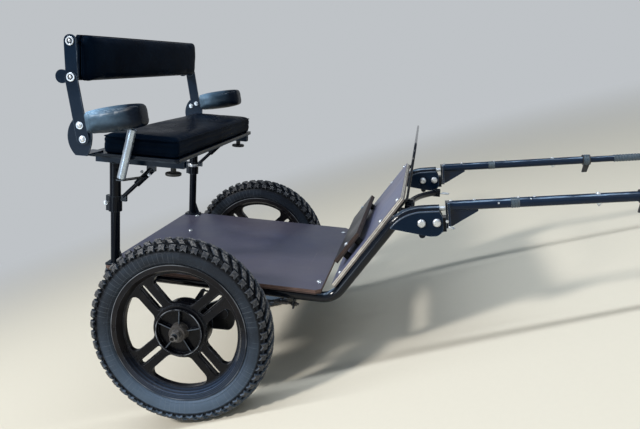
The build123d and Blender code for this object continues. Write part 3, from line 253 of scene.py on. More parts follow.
def closed_mesh(name, points, faces, weld_within):
    """A mesh from points in metres, its poles merged and its faces turned outward."""
    mesh = bpy.data.meshes.new(name)
    mesh.from_pydata(points.tolist(), [], faces.tolist())
    solid = bmesh.new()
    solid.from_mesh(mesh)
    bmesh.ops.remove_doubles(solid, verts=solid.verts, dist=weld_within)
    bmesh.ops.dissolve_degenerate(solid, dist=1e-7, edges=solid.edges)
    bmesh.ops.recalc_face_normals(solid, faces=solid.faces)
    solid.to_mesh(mesh)
    solid.free()
    return mesh


def piece(name, level, faces, finish, slot, body="chassis", crease=35.0):
    """Makes one mesh piece from level millimetre points; edges sharper than the crease stay sharp."""
    mesh = closed_mesh(name, tipped(level), faces, 2e-6)
    mesh.shade_smooth()
    mesh.set_sharp_from_angle(angle=math.radians(crease))
    mesh.materials.append(finish)
    made = shown(name, mesh)
    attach(made, body)
    return made


# Finishes


class Finish:
    """A material built from a few noise and mask nodes, all read from the object's own coordinates."""

    def __init__(self, name, colour, roughness, metallic=0.0, specular=0.5):
        self.material = bpy.data.materials.new(name)
        self.material.use_nodes = True
        self.tree = self.material.node_tree
        self.shader = self.tree.nodes["Principled BSDF"]
        self.shader.inputs["Base Color"].default_value = (*colour, 1)
        self.shader.inputs["Roughness"].default_value = roughness
        self.shader.inputs["Metallic"].default_value = metallic
        self.shader.inputs["Specular IOR Level"].default_value = specular
        self.material.diffuse_color = (*colour, 1)
        self.source = self.tree.nodes.new("ShaderNodeTexCoord")

    def node(self, kind, inputs=None, output=0, **settings):
        """Adds a node; each input gets a value, or the output socket that feeds it."""
        made = self.tree.nodes.new(kind)
        for key, value in settings.items():
            setattr(made, key, value)
        for key, value in (inputs or {}).items():
            if isinstance(value, bpy.types.NodeSocket):
                self.tree.links.new(value, made.inputs[key])
            else:
                made.inputs[key].default_value = value
        return made.outputs[output]

    def place(self, stretch=(1, 1, 1), centre=(0, 0, 0), turn=(0, 0, 0)):
        """Object coordinates moved so that the centre is zero, then turned and stretched."""
        at = self.source.outputs["Object"]
        moved = self.node("ShaderNodeVectorMath", {0: at, 1: centre}, operation="SUBTRACT")
        mapping = {"Vector": moved, "Rotation": turn, "Scale": stretch}
        return self.node("ShaderNodeMapping", mapping, vector_type="POINT")

    def level(self, stretch=(1, 1, 1), angle=0.0):
        """Object coordinates turned back so that X and Z follow the level cart, or a sloping part of it."""
        return self.place(stretch, (0, 0, AXLE_HEIGHT / 1000), (0, math.radians(angle - PARK_ANGLE), 0))

    def noise(self, at, scale, detail=3.0, roughness=0.5, distortion=0.0):
        form = {"Scale": scale, "Detail": detail, "Roughness": roughness, "Distortion": distortion}
        return self.node("ShaderNodeTexNoise", {"Vector": at, **form})

    def cells(self, at, scale, feature="F1"):
        return self.node("ShaderNodeTexVoronoi", {"Vector": at, "Scale": scale}, feature=feature)

    def ramp(self, value, low, high, to_low=0.0, to_high=1.0):
        """Value mapped from low..high to the new limits, held at both ends."""
        limits = {"From Min": low, "From Max": high, "To Min": to_low, "To Max": to_high}
        return self.node("ShaderNodeMapRange", {"Value": value, **limits})

    def patches(self, at, form, low, high, to_low=0.0, to_high=1.0):
        """Noise of a form, its scale, detail and so on, with its heights mapped as by ramp."""
        return self.ramp(self.noise(at, *form), low, high, to_low, to_high)

    def calc(self, operation, a, b=0.0):
        """One step of arithmetic; times, plus and most take any number of values."""
        return self.node("ShaderNodeMath", {0: a, 1: b}, operation=operation)

    def times(self, *values):
        return reduce(lambda a, b: self.calc("MULTIPLY", a, b), values)

    def plus(self, *values):
        return reduce(lambda a, b: self.calc("ADD", a, b), values)

    def most(self, *values):
        return reduce(lambda a, b: self.calc("MAXIMUM", a, b), values)

    def band(self, value, rise, full, still_full, end):
        """Share of lying in a band: up between the first two values, down between the last two."""
        return self.times(self.ramp(value, rise, full), self.ramp(value, end, still_full))

    def tint(self, share, a, b):
        """Mixes colour a towards colour b by the share."""
        a = a if isinstance(a, bpy.types.NodeSocket) else (*a, 1)
        b = b if isinstance(b, bpy.types.NodeSocket) else (*b, 1)
        return self.node("ShaderNodeMix", {0: share, 6: a, 7: b}, output=2, data_type="RGBA")

    def coats(self, base, *coats):
        """A colour under coats, each a (share, colour) pair laid over all before it."""
        return reduce(lambda under, coat: self.tint(coat[0], under, coat[1]), coats, base)

    def facing(self, way):
        """How squarely the surface faces a level direction, from -1 to 1."""
        return self.dot(self.source.outputs["Normal"], tipped_way(way))

    def dot(self, a, b):
        return self.node("ShaderNodeVectorMath", {0: a, 1: b}, output="Value", operation="DOT_PRODUCT")

    def edges(self, width):
        """Share of an edge: how far a normal rounded over the width leans away from the true one."""
        soft = self.node("ShaderNodeBevel", {"Radius": width}, samples=4)
        true = self.node("ShaderNodeNewGeometry", output="Normal")
        return self.ramp(self.dot(soft, true), 0.985, 0.86)

    def reach(self, at, axis):
        """One coordinate of a place."""
        return self.node("ShaderNodeSeparateXYZ", {"Vector": at}, output=axis)

    def done(self, base, rough, *bumps):
        """Feeds the colour, the roughness and the bumps, each a (height, depth in metres) pair."""
        self.feed("Base Color", base)
        self.feed("Roughness", rough)
        normal = None
        for height, depth in bumps:
            inputs = {"Strength": 1.0, "Distance": depth, "Height": height}
            if normal:
                inputs["Normal"] = normal
            normal = self.node("ShaderNodeBump", inputs)
        self.feed("Normal", normal)
        return self.material

    def feed(self, socket, value):
        self.tree.links.new(value, self.shader.inputs[socket])


UP = (0, 0, 1)


def dust_on(finish, at, amount=1.0, patch=5.0):
    """Dust share: more on faces that look up, broken by a coarse and a fine noise."""
    lying = finish.ramp(finish.facing(UP), 0.1, 0.95, 0.15, 1.0)
    coarse = finish.patches(at, (patch, 4), 0.42, 0.72)
    fine = finish.patches(at, (220, 3, 0.7), 0.35, 0.8, 0.3, 1.0)
    return finish.times(coarse, fine, lying, amount)


def scaled(colour, share):
    """A colour made lighter or darker."""
    return tuple(share * c for c in colour)


def gloss_black_paint(
    name, shine=0.1, dust=0.06, colour=(0.002, 0.0032, 0.0062), specular=0.26, wear=0.6, painted_highlight_streaks=0.0
):
    """Gloss black over steel: orange peel, dull handled patches, dust on top and a few pale chips. Edges
    are pale, part worn paint and part painted highlight, and a painted highlight runs either side of the top."""
    f = Finish(name, colour, shine, specular=specular)
    at = f.level()
    chips = f.patches(at, (46, 6, 0.72), 0.742, 0.755)
    dusty = dust_on(f, at, dust)
    # Pale edges: part worn paint, part painted highlight
    rubbed = f.times(f.edges(0.0022), f.patches(at, (30, 4, 0.6), 0.36, 0.66, 0.15, wear))
    body = f.tint(f.noise(at, 9, 3), colour, scaled(colour, 1.9))
    body = f.coats(body, (dusty, (0.085, 0.11, 0.15)), (rubbed, (0.2, 0.26, 0.34)))
    # Painted highlight: a broken pale-blue band either side of the top of a tube
    if painted_highlight_streaks:
        up = f.facing(UP)
        band = f.band(up, 0.56, 0.7, 0.8, 0.92)
        broken = f.patches(f.level((5, 70, 70), RUN_ANGLE), (1.0, 4, 0.6), 0.42, 0.6, 0.1, painted_highlight_streaks)
        body = f.tint(f.times(band, broken), body, (0.24, 0.35, 0.5))
    base = f.tint(chips, body, (0.2, 0.18, 0.16))
    worn = f.patches(at, (14, 5, 0.6), 0.35, 0.75, shine * 0.75, shine + 0.09)
    rough = f.plus(worn, f.times(dusty, 0.5))
    return f.done(base, rough, (f.noise(at, 260, 2), 0.00005), (chips, -0.00015))


def film_faced_ply(name, face, angle, film, wear, pale, dark):
    """Resin film on birch ply, slightly mottled, with long scuffs and grit marks. The face is a level
    point on the board's outer side: the edge shows its glued layers by their depth under it, is painted
    darker deeper than about 9 mm as painted shade, and the round spacers behind the board are black."""
    f = Finish(name, film, 0.42, specular=0.4)
    at = f.level(angle=angle)
    a = math.radians(angle)
    face_level = (-face[0] * math.sin(a) + (face[1] - AXLE_HEIGHT) * math.cos(a)) / 1000
    depth = f.calc("SUBTRACT", f.reach(at, 2), face_level)
    on_face = f.ramp(f.calc("ABSOLUTE", f.facing((-math.sin(a), 0, math.cos(a)))), 0.55, 0.75)
    mottle = f.patches(at, (7, 5, 0.6), 0.3, 0.75)
    grain = f.noise(f.level((30, 260, 260), angle), 1.0, 4, 0.6)
    scuff = f.patches(f.level((3, 90, 90), angle), (1.0, 5, 0.65, 0.4), 0.63, 0.7, 0, wear)
    cross = f.patches(f.level((70, 4, 70), angle), (1.0, 5, 0.7, 0.6), 0.66, 0.72, 0, wear)
    grit = f.patches(at, (170, 5, 0.75), 0.66, 0.74, 0, wear)
    dust = dust_on(f, at, 0.3, 4.0)
    brown = f.patches(at, (2.6, 3, 0.55), 0.42, 0.68, 0.0, 0.5)
    top = f.coats(
        f.tint(mottle, scaled(film, 0.8), scaled(film, 1.24)),
        (brown, (film[0] * 1.1, film[1] * 0.86, film[2] * 0.7)),
        (f.ramp(grain, 0.3, 0.7, 0, 0.3), scaled(film, 0.62)),
        (f.most(scuff, cross, grit), (0.21, 0.185, 0.175)),
        (dust, (0.26, 0.245, 0.24)),
    )
    layers = f.calc("COSINE", f.times(depth, 2 * math.pi / 0.005))
    layers = f.ramp(f.plus(layers, f.patches(at, (60, 3), 0.3, 0.7, -0.35, 0.35)), 0.35, 0.9)
    # Painted shade: the edge darkens deeper than about 9 mm under the face
    layers = f.most(layers, f.ramp(depth, -0.0085, -0.0105, 0.0, 0.85))
    stains = f.patches(at, (24, 4), 0.5, 0.72, 0, 0.55)
    edge = f.coats(pale, (layers, dark), (stains, scaled(pale, 0.3)))
    board = f.tint(on_face, edge, top)
    spacer = f.ramp(depth, -0.0153, -0.0158)
    base = f.tint(spacer, board, (0.005, 0.0055, 0.007))
    gloss = f.plus(f.ramp(mottle, 0, 1, 0.34, 0.5), f.times(f.plus(dust, scuff), 0.4))
    rough = f.most(gloss, f.ramp(on_face, 0, 1, 0.75, 0.0))
    return f.done(base, rough, (grain, 0.00012), (f.most(scuff, grit), -0.0003))


def wheel_radius(f, side):
    """Object coordinates centred on a wheel's axle, with the distance from the axle and the turn about it."""
    at = f.place(centre=(0, side * WHEEL_Y / 1000, AXLE_HEIGHT / 1000))
    x, z = f.reach(at, 0), f.reach(at, 2)
    radius = f.calc("SQRT", f.plus(f.times(x, x), f.times(z, z)))
    return at, radius, f.calc("ARCTAN2", z, x)


def cast_wheel_black(name, side):
    """Gloss black on cast aluminium: casting grain, brown in the rim well that is part road dust and part
    painted floor reflection, a pale line on the rim lip and on the hub cover's edge that is part rubbed
    paint and part painted highlight, pale edges that are part wear and part painted highlight, blue-grey
    rings painted low on the rim as a painted sky reflection, and a dull grey boss."""
    f = Finish(name, (0.003, 0.0035, 0.0055), 0.2, specular=0.14)
    at, radius, turn = wheel_radius(f, side)
    # Pale lines on the rim lip and the hub cover's edge: part rubbed paint, part painted highlight
    lip = f.times(f.ramp(radius, 0.2196, 0.2206), f.patches(at, (9, 3), 0.4, 0.62, 0.05, 0.8))
    cover = f.band(radius, 0.0738, 0.0748, 0.0764, 0.0772)
    out = f.times(f.reach(at, 1), side)
    outward = f.ramp(out, 0.0238, 0.0246)
    rubbed = f.times(cover, outward, f.patches(at, (26, 3), 0.42, 0.6))
    # Brown in the rim well: part road dust, part painted floor reflection
    well = f.times(f.ramp(radius, 0.13, 0.205), f.patches(at, (11, 5, 0.6), 0.38, 0.78, 0.03, 0.3))
    hub = f.times(f.ramp(radius, 0.0305, 0.0285), f.patches(at, (130, 5, 0.7), 0.3, 0.7, 0.4, 0.95))
    ribs = f.times(f.band(out, 0.0212, 0.0216, 0.0224, 0.0228), f.band(radius, 0.0282, 0.0292, 0.07, 0.0712))
    chips = f.patches(at, (60, 6, 0.7), 0.72, 0.735)
    # Painted reflection: blue-grey rings on the lower part of the rim
    low = f.times(f.ramp(f.calc("SINE", turn), -0.1, -0.95), f.ramp(radius, 0.185, 0.2))
    painted_highlight_streaks = f.ramp(f.calc("SINE", f.times(radius, 1300.0)), -0.4, 0.9, 0.15, 0.6)
    # Pale edges: part worn paint, part painted highlight
    thin = f.times(f.edges(0.0018), f.patches(at, (40, 4, 0.6), 0.4, 0.62, 0.1, 0.75))
    base = f.coats(
        (0.0018, 0.0022, 0.0036),
        (f.noise(at, 12, 4), (0.005, 0.0055, 0.0085)),
        (well, (0.045, 0.036, 0.032)),
        (f.times(low, painted_highlight_streaks), (0.06, 0.1, 0.18)),
        (thin, (0.15, 0.17, 0.21)),
        (hub, (0.1, 0.092, 0.088)),
        (f.times(ribs, 0.75), (0.09, 0.11, 0.14)),
        (chips, (0.25, 0.25, 0.25)),
        (f.most(lip, rubbed), (0.3, 0.33, 0.38)),
    )
    dull = f.plus(f.times(well, 0.5), f.times(hub, 0.4))
    rough = f.plus(f.patches(at, (16, 4), 0.3, 0.7, 0.17, 0.34), dull)
    fine, coarse = f.noise(at, 700, 3, 0.6), f.noise(at, 60, 2)
    return f.done(base, rough, (fine, 0.00007), (coarse, 0.00015), (hub, 0.0004))


def tyre_rubber(name, side):
    """Dusty rubber: moulded rings and fine radial lines on the side wall, blue-grey dust patches with
    the lower half painted lighter and bluer as painted sky light, painted shade between the tread's
    blocks, and sand-scuffed tops and pale edges on its blocks, the edges part worn and part painted
    highlight. The height is one on the carcass line, a superellipse of distance across and rise over
    250 mm, and more on the blocks."""
    f = Finish(name, (0.03, 0.034, 0.042), 0.6, specular=0.2)
    at, radius, turn = wheel_radius(f, side)
    lines = f.ramp(f.calc("SINE", f.times(turn, 94.0)), 0.95, 1.0)
    lines = f.times(lines, f.patches(at, (14, 2), 0.46, 0.56))
    hairs = f.patches(f.place((300, 300, 300), (0, side * WHEEL_Y / 1000, 0.3)), (1.0, 3, 0.6), 0.66, 0.7)
    rings = f.ramp(f.calc("SINE", f.times(radius, 1900.0)), 0.2, 1.0)
    rings = f.times(rings, f.ramp(radius, 0.246, 0.239))
    across = f.calc("DIVIDE", f.calc("ABSOLUTE", f.reach(at, 1)), 0.0404)
    rise = f.calc("DIVIDE", f.most(f.calc("SUBTRACT", radius, 0.25), 0.0), 0.0383)
    height = f.calc("POWER", f.plus(f.calc("POWER", across, 2.6), f.calc("POWER", rise, 2.6)), 1 / 2.6)
    on_tread = f.ramp(radius, 0.2615, 0.2665)
    # Painted shade: the tread between the blocks is painted near black
    painted_tread_shade = f.times(on_tread, f.ramp(height, 1.15, 1.06))
    tops = f.times(on_tread, f.ramp(height, 1.205, 1.235))
    # Painted light: the lower half of the tyre is made lighter and bluer, added to the real dust
    low = f.ramp(f.plus(f.calc("SINE", turn), f.times(f.calc("COSINE", turn), 0.3)), 0.3, -1.0)
    low = f.calc("POWER", low, 1.5)
    dusty = f.patches(at, (13, 5, 0.65), 0.32, 0.72, 0.0, 0.2)
    # From here dusty holds both the real dust patches and the painted lighter lower half
    dusty = f.plus(dusty, f.times(low, 0.8))
    scuffs = f.patches(at, (150, 5, 0.72), 0.44, 0.68)
    scuffs = f.times(scuffs, f.ramp(radius, 0.282, 0.294, 0.3, 1.0))
    # Pale block edges: part wear, part painted highlight
    worn = f.times(f.edges(0.0022), f.patches(at, (60, 3, 0.6), 0.35, 0.6, 0.15, 0.8))
    knobs = f.times(worn, on_tread, f.ramp(height, 1.1, 1.18))
    base = f.coats(
        (0.006, 0.0085, 0.0145),
        (dusty, (0.085, 0.125, 0.185)),
        (f.times(f.most(lines, hairs), 0.4), (0.17, 0.2, 0.24)),
        (tops, f.tint(scuffs, (0.022, 0.025, 0.032), (0.26, 0.245, 0.23))),
        (f.times(painted_tread_shade, 0.88), (0.002, 0.002, 0.003)),
        (knobs, (0.17, 0.185, 0.21)),
    )
    rough = f.ramp(dusty, 0, 1, 0.42, 0.66)
    return f.done(base, rough, (f.noise(at, 500, 3, 0.6), 0.0001), (f.plus(lines, rings), 0.0004))


def greasy_steel(name):
    """Hub nut, washer and axle end: dark steel under grease and road dust, with painted shade, black, in the
    middle of the axle end's shallow recess.
    """
    f = Finish(name, (0.05, 0.048, 0.048), 0.5, metallic=0.4)
    at, radius, _ = wheel_radius(f, 1)
    grease = f.patches(at, (95, 5, 0.7), 0.35, 0.65)
    sand = f.patches(at, (420, 4, 0.7), 0.55, 0.7, 0, 0.7)
    # Painted shade: black in the middle of the axle end's shallow recess
    painted_shade_in_recess = f.ramp(radius, 0.0058, 0.0052)
    base = f.coats(
        (0.16, 0.155, 0.155),
        (grease, (0.022, 0.021, 0.022)),
        (sand, (0.2, 0.185, 0.17)),
        (painted_shade_in_recess, (0.002, 0.002, 0.002)),
    )
    rough = f.ramp(grease, 0, 1, 0.38, 0.7)
    return f.done(base, rough, (f.noise(at, 900, 3), 0.0001), (grease, 0.0003))


def zinc_plate(name, dull=0.0):
    """Bright zinc with faint clouds and grime in fine pits."""
    f = Finish(name, (0.6, 0.63, 0.67), 0.3 + dull, metallic=0.9)
    at = f.place()
    clouds = f.patches(at, (90, 4), 0.3, 0.7)
    grime = f.patches(at, (420, 5, 0.7), 0.6, 0.72)
    base = f.coats((0.5, 0.53, 0.57), (clouds, (0.74, 0.77, 0.8)), (grime, (0.18, 0.15, 0.12)))
    rough = f.ramp(clouds, 0, 1, 0.22 + dull, 0.42 + dull)
    return f.done(base, rough, (f.noise(at, 900, 2), 0.00004), (grime, -0.00008))


def black_vinyl(name, scale=1.0, bloom=0.0, specular=0.005):
    """Upholstery vinyl: small pebbled cells and soft creases. A pale blue painted sheen, strongest on
    upward faces near the strapped rear of an armrest and dying away forward; bloom sets its strength."""
    f = Finish(name, (0.002, 0.005, 0.0115), 0.28, specular=specular)
    at = f.level()
    pebbles = f.cells(at, 620 * scale, "SMOOTH_F1")
    crease = f.noise(f.level((9, 2.2, 9)), 2.2, 5, 0.55, 0.8)
    pores = f.noise(at, 1900, 2)
    root = tuple(tipped((ARM_ROOT[0], 0, ARM_ROOT[1])))
    # Painted sheen: pale blue, strongest at the armrest's rear and on faces that look up
    painted_sheen_share = f.ramp(f.reach(f.place(centre=root), 0), 0.15, 0.02, 0.0, bloom)
    clouds = f.times(painted_sheen_share, f.patches(at, (16, 3, 0.6), 0.3, 0.7, 0.45, 1.0))
    clouds = f.times(clouds, f.ramp(f.facing(UP), -0.5, 0.75, 0.12, 1.0))
    # The base's navy tint is a painted sky reflection on black vinyl
    base = f.coats(
        (0.0012, 0.0034, 0.0085),
        (f.patches(at, (8, 4), 0.3, 0.75), (0.0032, 0.0082, 0.0185)),
        (f.ramp(pebbles, 0.0, 0.5, 0.35, 0.0), (0.001, 0.002, 0.0045)),
        (clouds, (0.3, 0.5, 0.72)),
    )
    rough = f.patches(at, (11, 3), 0.3, 0.7, 0.24, 0.36)
    return f.done(base, rough, (crease, 0.0018), (pebbles, -0.00009), (pores, 0.00002))


def wrapped_board(name, film_from):
    """A board under vinyl: black skin folded over its edge, and below that a bare blue-grey strip."""
    f = Finish(name, (0.002, 0.005, 0.0115), 0.3, specular=0.13)
    at = f.level()
    level_at = f.plus(f.reach(at, 2), f.patches(at, (30, 2), 0.3, 0.7, -0.0006, 0.0006))
    strip = f.ramp(level_at, (film_from - AXLE_HEIGHT) / 1000, (film_from - AXLE_HEIGHT - 0.8) / 1000)
    # The skin's navy tint is a painted sky reflection, as on the vinyl
    skin = f.tint(f.noise(at, 8, 4), (0.0015, 0.0034, 0.008), (0.004, 0.0085, 0.018))
    bare = f.tint(f.patches(at, (22, 4, 0.6), 0.35, 0.7), (0.012, 0.017, 0.026), (0.045, 0.06, 0.08))
    base = f.tint(strip, skin, bare)
    rough = f.ramp(strip, 0, 1, 0.27, 0.5)
    return f.done(base, rough, (f.cells(at, 620, "SMOOTH_F1"), -0.00018), (strip, -0.0006))


def bare_aluminium(name, angle):
    """Drawn aluminium tube: fine lines along it, small scratches and a grey bloom."""
    f = Finish(name, (0.58, 0.6, 0.62), 0.34, metallic=0.85)
    lines = f.noise(f.level((6, 900, 900), angle), 1.0, 4, 0.6)
    at = f.place()
    bloom = f.patches(at, (45, 5, 0.6), 0.4, 0.75)
    marks = f.patches(f.level((200, 30, 200), angle), (1.0, 5, 0.7, 0.8), 0.66, 0.7)
    base = f.coats(
        (0.33, 0.39, 0.46),
        (f.ramp(lines, 0.35, 0.65), (0.62, 0.71, 0.82)),
        (f.times(bloom, 0.5), (0.26, 0.29, 0.33)),
        (marks, (0.2, 0.2, 0.2)),
    )
    rough = f.ramp(bloom, 0, 1, 0.26, 0.5)
    return f.done(base, rough, (lines, 0.00005), (marks, -0.0001))


def moulded_black(name, shine=0.45, colour=(0.011, 0.012, 0.014)):
    """Moulded black plastic or rubber with a spark-eroded grain and grey rubbed patches."""
    f = Finish(name, colour, shine)
    at = f.place()
    rubbed = f.patches(at, (35, 4, 0.6), 0.5, 0.75, 0, 0.6)
    base = f.tint(rubbed, colour, (0.05, 0.05, 0.052))
    rough = f.patches(at, (20, 3), 0.3, 0.7, shine - 0.08, shine + 0.15)
    return f.done(base, rough, (f.cells(at, 1400), 0.00008))


def lap_tape(name):
    """Grey-blue insulating tape wound round the shaft: its laps show as slanting steps."""
    f = Finish(name, (0.05, 0.075, 0.095), 0.32)
    at = f.level(angle=RUN_ANGLE)
    lap = f.calc("FRACT", f.plus(f.times(f.reach(at, 0), 110.0), f.times(f.reach(at, 2), 20.0)))
    grime = f.patches(at, (70, 5, 0.65), 0.45, 0.75)
    base = f.tint(f.ramp(lap, 0.0, 0.2), (0.016, 0.026, 0.036), (0.05, 0.078, 0.106))
    base = f.tint(f.times(grime, 0.5), base, (0.05, 0.05, 0.05))
    rough = f.ramp(grime, 0, 1, 0.26, 0.5)
    return f.done(base, rough, (lap, 0.0003), (f.noise(at, 220, 3), 0.0002))


paint = gloss_black_paint("gloss_black_frame_paint", specular=0.12)
# The rails carry the painted highlight band along their tops
rail_paint = gloss_black_paint("gloss_black_rail_paint", painted_highlight_streaks=0.6)
rod_paint = gloss_black_paint("gloss_black_rod_paint", wear=0.1)
dull_paint = gloss_black_paint(
    "dull_black_axle_paint", shine=0.3, dust=0.25, colour=(0.0035, 0.004, 0.0055), specular=0.16
)
# The shafts' blue base colour is a painted sky reflection on black paint, and they carry the painted
# highlight band
shaft_paint = gloss_black_paint(
    "black_shaft_paint_with_painted_sky_blue",
    shine=0.09, dust=0.15, colour=(0.0018, 0.0075, 0.021), specular=0.22, painted_highlight_streaks=0.8,
)
# The plates' navy base colour is a painted sky reflection on black paint
plate_paint = gloss_black_paint(
    "black_plate_paint_with_painted_sky_blue",
    shine=0.2, dust=0.1, colour=(0.0022, 0.0078, 0.019), specular=0.08, wear=0.85,
)
# Weld paint painted lighter and bluer than the frame's, with dust: a painted highlight along the beads
weld_paint_highlit = gloss_black_paint(
    "weld_paint_with_painted_highlight", shine=0.16, dust=0.5, colour=(0.035, 0.05, 0.075), specular=0.5
)
# Each board's face and slope; film colour, wear, and the edge's pale and dark layers
floor_ply = film_faced_ply(
    "film_faced_floor_ply", (0, FLOOR_TOP), 0,
    (0.062, 0.064, 0.108), 0.4, (0.15, 0.09, 0.075), (0.03, 0.018, 0.016),
)
# The dash's film is painted lighter and bluer than the floor's, standing in for sky light on its slope, and
# its edge's pale layer is a painted highlight
dash_ply = film_faced_ply(
    "film_faced_dash_ply", DASH_FOOT, DASH_ANGLE,
    (0.108, 0.122, 0.205), 0.18, (0.62, 0.58, 0.53), (0.06, 0.045, 0.04),
)
# Painted shade: the foot board's film and edge are painted near black; its heavier scuffs are wear
foot_ply = film_faced_ply(
    "trodden_and_shade_darkened_foot_board_ply", along(DASH_FOOT, DASH_ANGLE, 0, FOOT_TOP), DASH_ANGLE,
    (0.013, 0.013, 0.018), 0.6, (0.06, 0.037, 0.03), (0.02, 0.014, 0.013),
)
seat_ply = wrapped_board("vinyl_wrapped_seat_board", film_from=820.6)
vinyl = black_vinyl("black_seat_vinyl")
# The armrests carry the painted sheen
arm_vinyl = black_vinyl("armrest_vinyl_with_painted_sheen", scale=1.2, bloom=0.8, specular=0.12)
piping_vinyl = black_vinyl("black_piping_vinyl", scale=1.6)
zinc = zinc_plate("bright_zinc_bolts")
dull_zinc = zinc_plate("dull_zinc_nuts", dull=0.12)
aluminium = bare_aluminium("drawn_aluminium_whip_tube", angle=77.0)
plastic = moulded_black("black_knob_plastic")
cap_plastic = moulded_black("black_end_cap_plastic", shine=0.35)
cable_rubber = moulded_black("black_cable_sleeve", shine=0.5, colour=(0.008, 0.008, 0.009))
tape = lap_tape("grey_insulating_tape")
wheel_black = {side: cast_wheel_black(f"cast_wheel_black_{name}", side) for name, side in SIDES}
rubber = {side: tyre_rubber(f"dusty_tyre_rubber_{name}", side) for name, side in SIDES}
hub_steel = greasy_steel("greasy_hub_steel")

# Finish of each CAD node
NODE_FINISHES = (
    (paint,
     "axle_hangers back_tube brake_cable_stays dash_cross_tube front_cross_tube post_collars "
     "rear_cross_tube seat_braces seat_posts_lower seat_posts_upper shaft_bushing_left "
     "shaft_bushing_right swingletree swingletree_arm"),
    (hub_steel, "axle_nuts brake_adjusters"),
    (plate_paint,
     "back_uprights_lower back_uprights_upper seat_rails seat_side_plates shaft_bracket_left "
     "shaft_bracket_right"),
    (vinyl, "backrest_board armrest_left armrest_right backrest_cushion seat_cushion"),
    (zinc, "bracket_bolts rail_plugs"),
    (cable_rubber, "brake_cables"),
    (dull_paint, "brake_levers brake_plates torsion_axle_tube trailing_arm_left trailing_arm_right"),
    (wheel_black[1], "cast_wheel_left"),
    (wheel_black[-1], "cast_wheel_right"),
    (dash_ply, "dash_board"),
    (floor_ply, "floor_board"),
    (foot_ply, "foot_board"),
    (cap_plastic, "rail_caps"),
    (rod_paint, "rein_rail whip_holder_arm"),
    (seat_ply, "seat_board"),
    (plastic, "seat_knobs tug_stops"),
    (shaft_paint, "shaft_left shaft_right shaft_tip_left shaft_tip_right"),
    (rail_paint, "side_rail_left side_rail_right"),
    (dull_zinc, "trace_hooks"),
    (aluminium, "whip_holder"),
    (rubber[1], "tyre_left"),
    (rubber[-1], "tyre_right"),
)
for finish, names in NODE_FINISHES:
    for name in names.split():
        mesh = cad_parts[name].data
        mesh.materials.clear()
        mesh.materials.append(finish)


# Tyres

# Half of the tyre's outline as (radius, distance from its middle), outside from the crown to the bead,
# then inside from the bead to the crown
CARCASS_OUT = [
    (288.3, 0), (287.8, 8), (286.2, 17), (282.6, 26), (277.6, 33), (270.3, 37.4), (262.5, 39.4),
    (261.4, 40.0), (260.0, 39.5), (250.0, 39.9), (240.0, 38.6), (233.0, 36.2), (231.0, 36.4),
    (229.0, 34.6), (225.5, 31.0), (223.4, 27.4), (219.0, 26.2), (211.5, 25.0),
]
CARCASS_IN = [(211.5, 17.0), (226.0, 19.0), (246.0, 30.0), (268.0, 31.0), (281.0, 20.0), (284.5, 0)]
# Points round the tyre, lugs in a row, and the radius at which a lug's length and slant are measured
TYRE_ROUND = 216
LUGS = 50
LUG_ARC_R = 290.0
# Rows of lugs on each half of the tread: middle and half width across it, half length round it,
# slant, height, phase, and how far the outer edge is notched
LUG_ROWS = [
    (15.5, 11.0, 9.0, 0.95, 11.0, 0.0, 0.0),
    (38.0, 8.6, 10.8, 0.1, 10.2, 0.5, 4.5),
    (37.0, 2.6, 9.6, 0.0, 4.6, 0.0, 0.0),
]


def crown_line():
    """Arc length from the crown against radius, offset and outward normal of the carcass line."""
    line = smooth_line(CARCASS_OUT[:10], 10)
    step = np.linalg.norm(np.diff(line, axis=0), axis=1)
    way = np.gradient(line, axis=0)
    way /= np.linalg.norm(way, axis=1, keepdims=True)
    return np.concatenate([[0], np.cumsum(step)]), line, np.stack([way[:, 1], -way[:, 0]], axis=1)


def lug_row(middle, half_width, half_length, slant, height, phase, notch, side):
    """One row of tread lugs. Each is three rings of eight points: a foot sunk in the carcass, a
    shoulder, and a top drawn in by a chamfer. A point lies at an arc length across the tread and an
    angle round it, lifted along the carcass normal; the slant shifts the angle with the arc length,
    and the notch draws in the middle of the outer edge."""
    arc, line, normal = crown_line()
    turn = (np.arange(LUGS) + phase) * 2 * np.pi / LUGS
    across = np.array([-1, 0, 1, 1, 1, 0, -1, -1])
    round_about = np.array([-1, -1, -1, 0, 1, 1, 1, 0])
    notched = np.array([0, 0, 0, 1, 0, 0, 0, 0]) * notch
    inset, lift = np.array([-1.4, 0.5, 1.9]), np.array([-2.0, height - 1.6, height])
    w = across * (half_width - inset[:, None]) - notched
    length = round_about * (half_length - inset[:, None])
    at = middle + w
    r0, y0 = np.interp(at, arc, line[:, 0]), np.interp(at, arc, line[:, 1])
    nr, ny = np.interp(at, arc, normal[:, 0]), np.interp(at, arc, normal[:, 1])
    angle = turn[:, None, None] + (side * slant * w + length) / LUG_ARC_R
    r = np.broadcast_to(r0 + nr * lift[:, None], angle.shape)
    y = np.broadcast_to(y0 + ny * lift[:, None], angle.shape)
    points = np.stack([r * np.cos(angle), side * y, r * np.sin(angle)], axis=-1)
    lid = np.array([[0, 1, 2, 3], [3, 4, 5, 6], [6, 7, 0, 3]])
    faces = np.concatenate([grid_faces(3, 8, loop_columns=True), lid, lid + 16])
    shift = np.arange(LUGS)[:, None, None] * 24
    return points.reshape(-1, 3), (faces[None] + shift).reshape(-1, 4)


